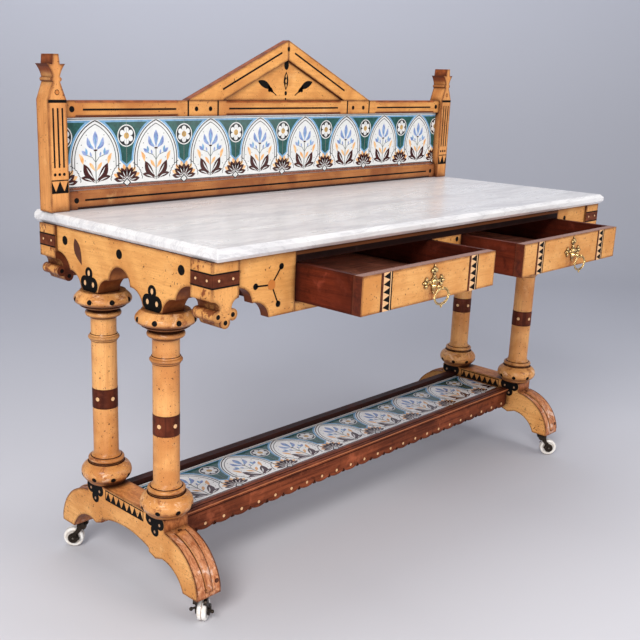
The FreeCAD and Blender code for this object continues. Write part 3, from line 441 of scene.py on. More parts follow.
# The splashback's bottom rail: a darker copy of the rail maple, as painted shade on the low part of
# the splashback.
MAPLE_FOOT_RAIL_SHADED = maple(
    "maple_foot_rail_shaded", "x", (0.50, 0.20, 0.062), (0.26, 0.080, 0.025), corner_shade=0.95)
MAPLE_Y = maple("maple_y", "y", ends=sawn("X", EDGE_TONES))
MAPLE_BRACKET = maple(
    "maple_bracket", "z", (0.76, 0.37, 0.118), ends=stained, marks=0.5, rim=0.007)
MAPLE_REAR = maple(
    "maple_rear_bracket", "z", (0.80, 0.40, 0.13), ends=shaded_side, marks=0.5, rim=0.006)
MAPLE_POST = maple(
    "maple_post", "z", (0.74, 0.33, 0.105), (0.46, 0.165, 0.045), finial_shade, corner_shade=0.95)
MAPLE_BEAM = maple(
    "maple_beam", "y", (0.80, 0.41, 0.14), ends=toe_wear, corner_shade=0.95, marks=0.6, hollow_shade=0.50)
MAPLE_TURNED = maple(
    "maple_turned", "z", (0.80, 0.40, 0.135), (0.54, 0.21, 0.055), handled,
    corner_shade=0.95, marks=0.55, polish=0.34)
MAPLE_DRAWER = maple("maple_drawer", "x", (0.74, 0.375, 0.125), ends=drawer_ends, marks=0.5)
# The rail under the marble: near-black painted shade, with a lit brown strip along its top.
MAHOGANY_IN_SHADE = mahogany("mahogany_in_shade", "x", (0.012, 0.003, 0.002), (0.006, 0.002, 0.002), lit_edge)
MAHOGANY_TRAY = mahogany("mahogany_tray", "x", (0.28, 0.068, 0.026), (0.085, 0.018, 0.008))
MAHOGANY_DARK = mahogany("mahogany_dark", "x", (0.060, 0.017, 0.011), (0.024, 0.008, 0.006))
# Its painted shade in hollows reaches further, darkening the insides of the drawers.
MAHOGANY_DRAWER = mahogany(
    "mahogany_drawer", "y", (0.155, 0.024, 0.009), (0.062, 0.010, 0.0045), reach=0.15)
MAHOGANY_FLOOR = mahogany(
    "mahogany_floor", "x", (0.62, 0.24, 0.150), (0.32, 0.10, 0.064), reach=0.030)
MAHOGANY_BAND = mahogany("mahogany_band", "z", (0.15, 0.034, 0.015), (0.060, 0.013, 0.007))
MAHOGANY_STRAP = mahogany("mahogany_strap", "x", (0.27, 0.072, 0.028), (0.14, 0.032, 0.014))
PINE = maple("pine_plain", "x", (0.42, 0.23, 0.10), (0.28, 0.14, 0.06))
MARBLE = marble_stone()
# The tray's tiles take a brighter copy of the tile white than the splashback's: painted light
# against the shade under the table.
TILE_WHITE = glaze("tile_white", (0.76, 0.76, 0.75), 0.03)
TRAY_WHITE_LIFTED = glaze("tray_tile_white_lifted", (0.92, 0.92, 0.91), 0.03)
EBONY = inlay("ebony", (0.005, 0.0045, 0.0045), (0.013, 0.009, 0.008), 0.6, shine=0.06)
LIGHT_WOOD = inlay("light_plug", (0.74, 0.44, 0.22), (0.56, 0.28, 0.12))
DULL_WOOD = inlay("dull_plug", (0.36, 0.20, 0.11), (0.22, 0.11, 0.06))
TAN_WOOD = inlay("tan_disc", (0.52, 0.17, 0.035), (0.40, 0.12, 0.025))
BROWN_MARK = inlay("brown_leaf", (0.085, 0.022, 0.008), (0.22, 0.066, 0.020))
# Near-black: painted shade in creases, notches and under the tray's lip, and the dark rims of marks
# on the toes.
SHADE_AND_DARK_LINES = inlay("shade_and_dark_lines", (0.032, 0.009, 0.005), (0.11, 0.032, 0.012), 0.7, shine=0.05)
SOFT_GROOVE = inlay("soft_groove", (0.085, 0.024, 0.009), (0.30, 0.10, 0.035), 0.6, 70.0, 0.1)
GROUT = inlay("grout", (0.30, 0.28, 0.26), (0.18, 0.16, 0.15), 0.8)
# A painted highlight on the bead of the tray's lip.
LIP_HIGHLIGHT = inlay("lip_highlight", (0.44, 0.15, 0.055), (0.26, 0.075, 0.03))
HONEY = inlay("honey_inlay", (0.74, 0.37, 0.12), (0.58, 0.25, 0.07))
# The gilt brass's dark patches are tarnish and, in part, painted dark reflection.
BRASS = metal("gilt_brass", (0.80, 0.56, 0.25), (0.16, 0.075, 0.018), 0.13, 0.95, 190.0)
DARK_BRASS = metal("tarnished_brass", (0.050, 0.038, 0.030), (0.014, 0.010, 0.008), 0.42)
PORCELAIN = glaze("porcelain", (0.88, 0.865, 0.84), 0.08, (0.74, 0.68, 0.61), 0.45)
WORN_LINE = inlay("worn_line", (0.36, 0.22, 0.15), (0.70, 0.60, 0.52), 0.5, 90.0)
IRON_PIN = metal("iron_pin", (0.20, 0.17, 0.14), (0.06, 0.05, 0.045), 0.35)
GLAZES = {
    "teal": glaze("glaze_teal", (0.020, 0.100, 0.088), 0.18),
    "sky": glaze("glaze_sky", (0.19, 0.40, 0.64), 0.12),
    "blue": glaze("glaze_blue", (0.16, 0.22, 0.46), 0.2, (0.34, 0.42, 0.66)),
    "line": glaze("glaze_line", (0.016, 0.016, 0.018), 0.1),
    "grey": glaze("glaze_grey", (0.12, 0.15, 0.13), 0.1),
    "maroon": glaze("glaze_maroon", (0.055, 0.008, 0.006), 0.2),
    "ochre": glaze("glaze_ochre", (0.76, 0.36, 0.12), 0.15, (0.82, 0.56, 0.30)),
    "gold": glaze("glaze_gold", (0.62, 0.38, 0.12), 0.2),
    "brown": glaze("glaze_brown", (0.26, 0.085, 0.045), 0.2),
    "white": TILE_WHITE,
}

# CAD pieces that keep their shape: their names, their material and how far edges are eased.
DRESS = (
    ("marble_top", MARBLE, 1.2),
    ("splash_tiles", TILE_WHITE, None),
    ("tray_tiles", TRAY_WHITE_LIFTED, None),
    ("splash_post_left splash_post_right", MAPLE_POST, 0.9),
    ("splash_bottom_rail", MAPLE_FOOT_RAIL_SHADED, 0.8),
    ("splash_top_rail", MAPLE_RAIL, 0.8),
    ("pediment_rafter_left pediment_rafter_right", MAPLE_X, 0.8),
    ("pediment_panel", MAPLE_X, 0.7),
    ("front_apron_left front_apron_right front_apron_centre front_bottom_rail", MAPLE_APRON, 0.7),
    ("corner_brackets_front", MAPLE_BRACKET, 0.9),
    ("corner_brackets_rear", MAPLE_REAR, 0.9),
    ("end_apron_left end_apron_right", MAPLE_Y, 1.2),
    ("foot_beam_left foot_beam_right", MAPLE_BEAM, 1.6),
    ("front_top_rail", MAHOGANY_IN_SHADE, 0.6),
    ("tray_front_rail", MAHOGANY_TRAY, 0.8),
    ("tray_back_rail", MAHOGANY_DARK, 1.2),
    ("drawer_runners drawer_kickers", MAHOGANY_DARK, 0.5),
    ("back_rail tray_bed splash_back_board", PINE, 0.5),
    ("drawer_left_front drawer_right_front", MAPLE_DRAWER, 0.6),
    ("drawer_left_side_left drawer_left_side_right", MAHOGANY_DRAWER, 0.7),
    ("drawer_right_side_left drawer_right_side_right", MAHOGANY_DRAWER, 0.7),
    ("drawer_left_back drawer_right_back", MAHOGANY_DARK, 0.5),
    ("drawer_left_bottom drawer_right_bottom", MAHOGANY_FLOOR, 0.5),
)


def soften(item, width):
    """Rounds the edges of a board a little, as sanding and a century of use do."""
    weld = item.modifiers.new("weld", "WELD")
    weld.merge_threshold = 0.00002
    flat = item.modifiers.new("flat", "DECIMATE")
    flat.decimate_type = "DISSOLVE"
    flat.angle_limit = math.radians(1.0)
    edge = item.modifiers.new("edge", "BEVEL")
    edge.width = width * MM
    edge.segments = 2
    edge.limit_method = "ANGLE"
    edge.angle_limit = math.radians(32)
    normals = item.modifiers.new("normals", "WEIGHTED_NORMAL")
    normals.weight = 80


for names, material, width in DRESS:
    for name in names.split():
        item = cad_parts[name]
        item.data.materials.clear()
        item.data.materials.append(material)
        if width:
            soften(item, width)


# Outlines ----------------------------------------------------------------------
def circle(x, y, radius, count=24, tall=1.0):
    turns = [math.tau * i / count for i in range(count)]
    return [(x + radius * math.cos(a), y + tall * radius * math.sin(a)) for a in turns]


def rect(x0, y0, x1, y1):
    return [(x0, y0), (x1, y0), (x1, y1), (x0, y1)]


def arc(cx, cz, radius, start, end, steps=8):
    """Profile points on a circle: angles in degrees, 0 outward, 90 up."""
    turns = [math.radians(start + (end - start) * i / steps) for i in range(steps + 1)]
    return [(cx + radius * math.cos(a), cz + radius * math.sin(a)) for a in turns]


def lens(start, end, width, count=14, bend=0.0, peak=0.5):
    """A leaf from start to end, pointed at both ends and widest at its peak."""
    sx, sy = start
    dx, dy = end[0] - sx, end[1] - sy
    size = math.hypot(dx, dy)
    nx, ny = -dy / size, dx / size
    up, down = [], []
    for i in range(count + 1):
        t = i / count
        half = math.sin(math.pi * t ** (math.log(0.5) / math.log(peak))) * width / 2
        rise = math.sin(math.pi * t) * bend
        px, py = sx + dx * t + nx * rise, sy + dy * t + ny * rise
        up.append((px + nx * half, py + ny * half))
        down.append((px - nx * half, py - ny * half))
    return up + down[-2:0:-1]


def lobed(middle, circles, count=96, floor=-math.inf, ceiling=math.inf):
    """The outline round several overlapping circles, seen from a point inside them."""
    mx, my = middle
    outline = []
    for i in range(count):
        a = math.tau * i / count
        dx, dy = math.cos(a), math.sin(a)
        far = 0.0
        for cx, cy, radius in circles:
            ox, oy = mx - cx, my - cy
            b = ox * dx + oy * dy
            root = b * b - (ox * ox + oy * oy - radius * radius)
            if root >= 0:
                far = max(far, -b + math.sqrt(root))
        outline.append((mx + dx * far, min(max(my + dy * far, floor), ceiling)))
    return outline


def offsets(path, half, closed=False):
    """The two paths that run half a width to either side of a path."""
    count = len(path)
    left, right = [], []
    for i, (x, y) in enumerate(path):
        a = path[i - 1] if i > 0 or closed else path[i]
        b = path[(i + 1) % count] if i + 1 < count or closed else path[i]
        dx, dy = b[0] - a[0], b[1] - a[1]
        size = math.hypot(dx, dy) or 1.0
        nx, ny = -dy / size * half, dx / size * half
        left.append((x + nx, y + ny))
        right.append((x - nx, y - ny))
    return left, right


# A place turns a point of an outline, and its height above a face, into X, Y and Z.
def on_x(value, sign):
    return lambda a, b, h: (value + sign * h, a, b)


def on_y(value, sign):
    return lambda a, b, h: (a, value + sign * h, b)


def on_z(value, sign):
    return lambda a, b, h: (a, b, value + sign * h)


# Mesh building ---------------------------------------------------------------
class Build:
    """One mesh, put together in millimetres from prisms, strips and turned pieces."""

    def __init__(self):
        self.points, self.faces = [], []
        self.kinds, self.materials = [], []

    def add(self, points, faces, material):
        base = len(self.points)
        self.points.extend(points)
        if material not in self.materials:
            self.materials.append(material)
        for face in faces:
            self.faces.append([base + i for i in face])
            self.kinds.append(self.materials.index(material))

    def sweep(self, rows, material, closed=False):
        """Joins rows of as many points each into a skin, capped unless its ends meet."""
        count = len(rows[0])
        faces = []
        for i in range(len(rows) if closed else len(rows) - 1):
            j = (i + 1) % len(rows)
            for k in range(count):
                m = (k + 1) % count
                faces.append([i * count + k, i * count + m, j * count + m, j * count + k])
        if not closed:
            last = (len(rows) - 1) * count
            faces += [list(range(count))[::-1], list(range(last, last + count))]
        self.add([point for row in rows for point in row], faces, material)

    def prism(self, outline, place, low, high, material):
        self.sweep([[place(a, b, h) for a, b in outline] for h in (low, high)], material)

    def strip(self, left, right, place, low, high, material, closed=False):
        """A ribbon between two rows of points: a line inlay, an outline or a ring."""
        rows = []
        for a, b in zip(left, right):
            rows.append([place(*a, low), place(*b, low), place(*b, high), place(*a, high)])
        self.sweep(rows, material, closed)

    def line(self, path, width, place, low, high, material):
        self.strip(*offsets(path, width / 2), place, low, high, material)

    def turned(self, profile, middle, material, steps=96, axis=None):
        """A closed lathe shape from (radius, height) steps, round an upright or given axis."""
        turn = axis or Matrix.Identity(3)
        points, faces, rows = [], [], []
        for radius, height in profile:
            count = steps if radius > 0 else 1
            rows.append(list(range(len(points), len(points) + count)))
            for k in range(count):
                a = math.tau * k / steps
                spot = Vector((radius * math.cos(a), radius * math.sin(a), height))
                points.append(tuple(Vector(middle) + turn @ spot))
        for low, high in zip(rows, rows[1:]):
            for k in range(steps):
                j = (k + 1) % steps
                if len(low) == 1:
                    faces.append([low[0], high[j], high[k]])
                elif len(high) == 1:
                    faces.append([low[k], low[j], high[0]])
                else:
                    faces.append([low[k], low[j], high[j], high[k]])
        faces += [row for row in (rows[0][::-1], rows[-1]) if len(row) > 1]
        self.add(points, faces, material)

    def tube(self, path, radius, material, sides=14, closed=False):
        """A round wire along a path, its radius a number or one for each point."""
        path = [Vector(p) for p in path]
        count = len(path)
        radii = [radius] * count if isinstance(radius, float) else radius
        rows, normal = [], None
        for i, here in enumerate(path):
            ahead = path[(i + 1) % count] if closed or i + 1 < count else here
            behind = path[i - 1] if closed or i > 0 else here
            along = (ahead - behind).normalized()
            if normal is None:
                normal = along.orthogonal().normalized()
            normal = (normal - along * normal.dot(along)).normalized()
            other = along.cross(normal)
            ring = circle(0, 0, radii[i], sides)
            rows.append([tuple(here + normal * a + other * b) for a, b in ring])
        self.sweep(rows, material, closed)

    def ball(self, middle, radius, material, stretch=(1, 1, 1), rings=10, sides=18):
        profile = [(0.0, -radius)]
        for i in range(1, rings):
            a = math.pi * i / rings
            profile.append((radius * math.sin(a), -radius * math.cos(a)))
        first = len(self.points)
        self.turned(profile + [(0.0, radius)], (0, 0, 0), material, sides)
        for i in range(first, len(self.points)):
            spot = zip(middle, self.points[i], stretch)
            self.points[i] = tuple(at + offset * share for at, offset, share in spot)

    def make(self, name, body, slot, smooth=None, replaces=()):
        mesh = bpy.data.meshes.new(name)
        mesh.from_pydata([(x * MM, y * MM, z * MM) for x, y, z in self.points], [], self.faces)
        for material in self.materials:
            mesh.materials.append(material)
        mesh.polygons.foreach_set("material_index", self.kinds)
        work = bmesh.new()
        work.from_mesh(mesh)
        bmesh.ops.recalc_face_normals(work, faces=work.faces)
        work.to_mesh(mesh)
        work.free()
        if smooth:
            mesh.shade_smooth()
            mesh.set_sharp_from_angle(angle=math.radians(smooth))
        item = bpy.data.objects.new(name, mesh)
        bpy.context.scene.collection.objects.link(item)
        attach(item, body)
        if replaces:
            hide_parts(*replaces)


class Inlay(Build):
    """Pieces let into a face: each starts below it and stands a little proud of it."""

    SINK, RISE = -0.6, 0.25

    def __init__(self, place=None):
        super().__init__()
        self.place = place

    def shape(self, outline, material=EBONY, rise=RISE):
        self.prism(outline, self.place, self.SINK, rise, material)

    def dot(self, x, y, radius, material=EBONY, rise=RISE, tall=1.0):
        self.shape(circle(x, y, radius, 24, tall), material, rise)

    def bar(self, start, end, width, material=EBONY, rise=RISE):
        self.line([start, end], width, self.place, self.SINK, rise, material)

    def level(self, low, high, y, *settings):
        self.bar((low, y), (high, y), *settings)

    def upright(self, x, low, high, *settings):
        self.bar((x, low), (x, high), *settings)

    def plug(self, radius, material, rise):
        """A round plug that bends with the turned surface it is let into."""
        for low, high in ((0.0, 0.35), (0.35, 0.7), (0.7, 1.0)):
            outer, inner = circle(0, 0, radius * high, 20), circle(0, 0, radius * low or 0.01, 20)
            self.strip(outer, inner, self.place, self.SINK, rise, material, True)


# Turned columns --------------------------------------------------------------
COLUMN = (
    [(0, 0), (36, 0), (38.6, 2.6)]
    + arc(31.6, 23.0, 18.8, -64, 64, 16)
    + [(38.2, 42.6), (35.0, 44.4), (34.4, 45.2)]
    + arc(31.0, 50.6, 5.0, -78, 84, 9)
    + [(30.0, 56.4), (29.6, 57.6), (27.8, 58.8), (26.2, 61.2), (25.3, 64.5), (25, 67)]
    + [(25, 292), (25.2, 294.5), (26.8, 296), (27.2, 297.6)]
    + arc(26.6, 302.4, 3.9, -78, 78)
    + [(27.2, 307.2), (26.8, 308.8), (25.3, 310.4), (25, 312.5)]
    + [(25, 338), (25.6, 341.4), (27.6, 343.4)]
    + arc(28.6, 350.6, 6.4, -74, 76, 9)
    + [(28.4, 357.6), (28.4, 360.4), (34.0, 361.0), (39.5, 362.6), (44.6, 366.0)]
    + [(45.6, 367.6), (45.2, 368.8)]
    + arc(46.4, 379.2, 9.4, -80, 52, 12)
    + [(50.0, 389.4), (46.0, 392.4), (44.0, 395.0), (0, 395.0)]
)
# Heights of near-black rings in the creases: painted shade in the gaps between turned parts, and
# dark lines.
GROOVES = (
    (43.2, 45.4), (55.7, 57.0), (295.0, 296.0), (309.0, 310.0),
    (342.2, 343.6), (357.0, 360.8), (366.0, 368.4),
)
BAND = ((24.0, 159), (25.25, 159), (25.25, 199), (24.0, 199))
BAND_HEIGHT, CAPITAL_HEIGHT, BULB_HEIGHT = 179, 380.5, 17.5

# Degrees at which the plugs of each column's band, capital and bulb start.
PLUG_TURNS = {
    "front_left": (235.9, 233.2, 234.7),
    "rear_left": (235.6, 230.6, 227.6),
    "front_right": (225.4, 215.6, 226.6),
    "rear_right": (221.2, 204.2, 223.2),
}


def radius_at(height):
    """A column's radius at a height above its foot."""
    best = 0.0
    for (r0, z0), (r1, z1) in zip(COLUMN, COLUMN[1:]):
        low, high = min(z0, z1), max(z0, z1)
        if low - 1e-9 <= height <= high + 1e-9 and high > low:
            best = max(best, r0 + (r1 - r0) * (height - z0) / (z1 - z0))
    return best


def wrap(middle, angle, height):
    """Lays flat shapes on a column at an angle in degrees and a height."""

    def place(a, b, h):
        reach = radius_at(height + b) + h
        turn = math.radians(angle) + a / radius_at(height)
        x, y = middle
        return (x + reach * math.cos(turn), y + reach * math.sin(turn), COLUMN_FOOT + height + b)

    return place


for end, column_y in COLUMN_YS.items():
    turned, bands, trim = Build(), Build(), Inlay()
    for side, sign in SIDES.items():
        middle = (sign * BEAM_X, column_y)
        foot = (*middle, COLUMN_FOOT)
        # Near-black rings in the creases, partly painted shade.
        for low, high in GROOVES:
            levels = [low + (high - low) * i / 4 for i in range(5)]
            line = [(radius_at(level) + 0.12, level) for level in levels]
            bands.turned([(22.0, low)] + line + [(22.0, high)], foot, SHADE_AND_DARK_LINES, 64)
        turned.turned(COLUMN, foot, MAPLE_TURNED)
        bands.turned(BAND, foot, MAHOGANY_BAND)
        band, capital, bulb = PLUG_TURNS["%s_%s" % (end, side)]
        for number in range(5):
            trim.place = wrap(middle, band + 36 + 72 * number, BAND_HEIGHT)
            trim.plug(4.0, LIGHT_WOOD, 0.55)
        for number in range(8):
            trim.place = wrap(middle, capital + 22.5 + 45 * number, CAPITAL_HEIGHT)
            trim.plug(5.0, EBONY, 0.15)
            trim.place = wrap(middle, bulb + 22.5 + 45 * number, BULB_HEIGHT)
            trim.plug(4.8, EBONY, 0.3)
    turned.make("columns_turned_" + end, "stand", "maple", 40, replaces=["columns_" + end])
    bands.make("column_bands_" + end, "stand", "mahogany", 40)
    trim.make("column_plugs_" + end, "stand", "maple", 40)


# Inlay on the splashback -------------------------------------------------------
build = Inlay(on_y(POST_Y, -1))
for sign in SIDES.values():
    x = sign * POST_X
    build.level(x - 20.0, x + 20.0, 930.6, 5.6)
    for step in (-10.2, 0, 10.2):
        build.upright(x + step, 806, 918, 3.3)
        build.dot(x + step, 793, 2.9)
    build.level(x - 18.5, x + 18.5, 781.6, 2.0)
    build.level(x - 18.5, x + 18.5, 758.8, 4.0)
    build.shape([(x - 9.2, 760.0), (x + 9.2, 760.0), (x, 780.4)])
    for hand in (-1, 1):
        corner = x + hand * 18.5
        build.shape([(corner, 760.0), (corner - hand * 8.8, 760.0), (corner, 780.4)])
    build.dot(x, 947, 5.0, EBONY, 0.15)
    build.dot(x, 947, 3.9, TAN_WOOD, 0.35)
build.place = on_y(RAIL_Y, -1)
for sign in SIDES.values():
    build.dot(sign * 593, 915.5, 5.8)
    build.dot(sign * 588, 738.5, 5.4)
    build.level(sign * 335, sign * 568, 914.5, 3.6)
    for x in (302, 217):
        build.upright(sign * x, 899.5, 931.8, 4.0)
    for x in (279, 239):
        build.dot(sign * x, 914.5, 4.9)
    build.bar((sign * 203, 956), (sign * 21, 1039.5), 3.9)
build.level(-184, 181, 914.5, 3.6)
build.level(-568, 568, 738.5, 3.6)
build.dot(0, 1048, 4.2, tall=1.3)
build.place = on_y(PANEL_Y, -1)
build.dot(0, 1012, 7.4, tall=1.4)
build.shape(lens((0, 998), (0, 955.5), 15.0))
for z, wide, tall in ((987.5, 2.2, 5.0), (976.5, 2.7, 5.6), (965.5, 2.2, 5.0)):
    diamond = [(wide, z), (0, z + tall), (-wide, z), (0, z - tall)]
    inner = [(a * 0.35, z + (b - z) * 0.35) for a, b in diamond]
    build.strip(diamond, inner, build.place, build.SINK, 0.45, HONEY, True)
build.dot(0, 948.5, 4.0, tall=1.25)
build.dot(0, 935.6, 2.4)
for sign in (-1, 1):
    build.shape(lens((sign * 91, 975.5), (sign * 46, 957.0), 15.5, bend=sign * -1.5, peak=0.45))
    build.shape(lens((sign * 60, 965), (sign * 40, 949), 8.5))
    build.dot(sign * 54.0, 955.5, 4.4)
    build.bar((sign * 48, 955), (sign * 31, 943.5), 2.3)
build.make("splash_inlay", "stand", "maple")


# Inlay on the frieze and brackets ------------------------------------------------
def trefoil(build, plugs, material, rise, radius, talls):
    """Small plugs in the lobes of a trefoil."""
    for (a, b), tall in zip(plugs, talls):
        build.dot(a, b, radius, material, rise, tall)


build = Inlay()
for sign in SIDES.values():
    build.place = on_x(sign * END_X, sign)
    for y in (FRAME_Y - 177, FRAME_Y - 1, FRAME_Y + 176):
        build.dot(y, 671.5, 8.8)
    for y in COLUMN_YS.values():
        rings = [(y, 620.0, 11.8), (y - 13.2, 599.5, 14.6), (y + 13.2, 599.5, 14.6)]
        build.shape(lobed((y, 604), rings + [(y, 594.0, 12.0)], floor=585.4))
        plugs = ((y, 620.5), (y - 13.2, 600.0), (y + 13.2, 600.0))
        trefoil(build, plugs, LIGHT_WOOD, 0.5, 3.6, (1.45, 1.35, 1.35))
    leaf = lens((FRAME_Y + 142, 680), (FRAME_Y + 120, 632), 22.0, bend=1.5, peak=0.42)
    build.shape(leaf, BROWN_MARK, 0.12)
build.make("frieze_inlay", "stand", "maple")

BRACKET_IN, BRACKET_OUT = 591.2, 650.6
BRACKET_FRONTS = (-184.25, 281.85)
BRACKET_DEPTH = 54.9
build = Inlay()
for sign in SIDES.values():
    faces = [(on_y(BRACKET_FRONTS[0], -1), sorted((sign * BRACKET_IN, sign * BRACKET_OUT)))]
    for y in BRACKET_FRONTS:
        faces.append((on_x(sign * BRACKET_OUT, sign), (y, y + BRACKET_DEPTH)))
    for place, (low, high) in faces:
        build.place = place
        build.shape(rect(low, 655.5, high, 676.0), MAHOGANY_STRAP, 0.35)
        build.level(low, high, 677.2, 2.4, EBONY, 0.45)
        build.level(low, high, 654.2, 2.6, EBONY, 0.45)
        for share in (0.24, 0.76):
            build.dot(low + (high - low) * share, 666, 2.3, LIGHT_WOOD, 0.55)
    middle = sign * (BRACKET_IN + BRACKET_OUT) / 2
    for y in BRACKET_FRONTS:
        build.place = on_y(y, -1)
        for a, b in ((middle - 16.3, 605.2), (middle + 16.3, 605.2), (middle, 593.2)):
            build.dot(a, b, 4.2)
build.make("bracket_bands", "stand", "mahogany")

build = Inlay(on_y(APRON_Y, -1))
for sign in SIDES.values():
    hub = (sign * 512, 642)
    for a, b in ((489, 672), (550, 644), (495, 606)):
        build.bar(hub, (sign * a, b), 2.8)
        build.dot(sign * a, b, 5.6)
    build.dot(*hub, 8.8, TAN_WOOD, 0.5)
    build.dot(sign * 36, 666, 5.2)
build.make("apron_inlay", "stand", "maple")


# Foot beams: triangle bands, trefoils and the ribs on the toes -------------------
build = Inlay()
for sign in SIDES.values():
    for face in (-1, 1):
        build.place = on_x(sign * BEAM_X + face * BEAM_HALF, face)
        low, high = FRAME_Y - 62, FRAME_Y + 62
        build.level(low, high, 185.6, 2.0)
        build.level(low, high, 166.6, 2.8)
        build.upright(low + 0.8, 166, 186.4, 1.8)
        build.upright(high - 0.8, 166, 186.4, 1.8)
        pitch = (high - low - 2) / 7
        for number in range(7):
            left = low + 1 + number * pitch
            foot = ((left + 0.8, 167.6), (left + pitch - 0.8, 167.6))
            build.shape([*foot, (left + pitch / 2, 184.4)])
        for y in COLUMN_YS.values():
            rings = [(y - 14.0, 179.5, 13.5), (y + 14.0, 179.5, 13.5), (y, 160.0, 11.5)]
            build.shape(lobed((y, 174), rings + [(y, 184.0, 12.0)], ceiling=189.6))
            plugs = ((y - 14.5, 176.0), (y + 14.5, 176.0), (y, 157.5))
            trefoil(build, plugs, DULL_WOOD, 0.5, 2.6, (1.15, 1.15, 1.15))
build.make("beam_inlay", "stand", "maple")

# A toe's back is an arc through three points, in Y from the beam's middle and in Z.
TOE_TOP, TOE_TIP = (125.5, 165.0), (221.0, 75.3)
TOE_BEND = tuple(a + (b - a) * share for a, b, share in zip(TOE_TOP, TOE_TIP, (0.66, 0.30)))
RIB = (
    (-12.5, -8.0), (-12.5, 0.6), (-11.2, 2.1), (-9.0, 2.8),
    (9.0, 2.8), (11.2, 2.1), (12.5, 0.6), (12.5, -8.0),
)


def arc_through(first, second, third):
    """Centre, radius and end angles of the arc through three points."""
    (ax, ay), (bx, by), (cx, cy) = first, second, third
    a, b, c = ax * ax + ay * ay, bx * bx + by * by, cx * cx + cy * cy
    d = 2 * (ax * (by - cy) + bx * (cy - ay) + cx * (ay - by))
    x = (a * (by - cy) + b * (cy - ay) + c * (ay - by)) / d
    y = (a * (cx - bx) + b * (ax - cx) + c * (bx - ax)) / d
    ends = (math.atan2(ay - y, ax - x), math.atan2(cy - y, cx - x))
    return x, y, math.hypot(ax - x, ay - y), *ends


TOE_ARC = arc_through(TOE_TOP, TOE_BEND, TOE_TIP)


def toe_point(sign, along, share, across, high):
    """A point on a toe's back: share of its length, offset across it, height above it."""
    middle_y, middle_z, radius, start, finish = TOE_ARC
    turn = start + (finish - start) * share
    y = FRAME_Y + along * (middle_y + (radius + high) * math.cos(turn))
    return (sign * BEAM_X + across, y, middle_z + (radius + high) * math.sin(turn))


def toe_band(build, sign, along, section, start, material, taper):
    """Sweeps a section given as (across, height) along a toe's back."""
    rows = []
    for i in range(25):
        share = start + (1 - start) * i / 24
        shrink = 1 - taper * share ** 0.8
        rows.append([toe_point(sign, along, share, a * shrink, h) for a, h in section])
    build.sweep(rows, material)


def on_toe(sign, along, share, across):
    return lambda a, b, h: toe_point(sign, along, share - b / 170.0, across + a, h)


build = Inlay()
for sign in SIDES.values():
    for along in (-1, 1):
        toe_band(build, sign, along, RIB, 0.09, MAPLE_BEAM, 0.42)
        for hand in (-1, 1):
            for near, far, rise, start, taper in (
                (12.2, 15.0, 0.25, 0.07, 0.42),
                (26.4, 28.3, 0.2, 0.02, 0.0),
            ):
                near, far = hand * near, hand * far
                cut = [(near, -1.0), (near, rise), (far, rise), (far, -1.0)]
                toe_band(build, sign, along, cut, start, SOFT_GROOVE, taper)
        for share, across, size in ((0.055, 3.0, 4.4), (0.90, 20.5, 4.6)):
            build.place = on_toe(sign, along, share, across)
            build.dot(0, 0, size, SHADE_AND_DARK_LINES, 0.35)
            build.dot(0, 0, size - 1.3, BROWN_MARK, 0.6)
build.make("toe_ribs", "stand", "maple", 50)


# Tray rail studs with painted shade in the notches between them, the painted highlight on the bead
# of its lip, and the painted shadow lines below it
STUDS, STUD_Z = 24, 129.0
pitch = 2 * TRAY_HALF / STUDS
build = Inlay(on_y(TRAY_FRONT_Y, -1))
for number in range(STUDS):
    build.dot(-TRAY_HALF + (number + 0.5) * pitch, STUD_Z, 3.3, LIGHT_WOOD, 0.35)
# Painted shade: dark notches between the studs, where the scallops meet.
for number in range(1, STUDS):
    x = -TRAY_HALF + number * pitch
    notch_shade = [(x - 5.0, 119.4), (x, 118.6), (x + 5.0, 119.4), (x + 1.0, 127.0), (x - 1.0, 127.0)]
    build.shape(notch_shade, SHADE_AND_DARK_LINES, 0.12)
build.make("tray_studs", "stand", "maple")

LIP_HALF, TRAY_LIP_TOP = TRAY_HALF - 0.2, 169.0
build = Inlay()
# The bead's painted highlight, then painted shadow lines under the lip and along the rail's top.
for place, level, width, material, rise in (
    (on_y(TRAY_LIP_Y, -1), 166.4, 2.2, LIP_HIGHLIGHT, 0.2),
    (on_y(TRAY_LIP_Y, -1), 160.9, 1.9, SHADE_AND_DARK_LINES, 0.2),
    (on_y(TRAY_FRONT_Y, -1), 158.6, 1.6, SHADE_AND_DARK_LINES, 0.2),
    (on_z(TRAY_LIP_TOP, 1), -9.0, 3.0, SHADE_AND_DARK_LINES, 0.15),
):
    build.place = place
    build.level(-LIP_HALF, LIP_HALF, level, width, material, rise)
build.make("tray_lip_highlight_and_shadow", "stand", "mahogany")


# Tiles: a plain arcade of pointed arches, a lily in each and a palm leaf between ---
TILE = 152.4
HALF = TILE / 2
ARCH_HALF, ARCH_RADIUS, ARCH_SPRING = 56.0, 85.1, 64.0
ROSE_Z, PALM_Z = 113, 21
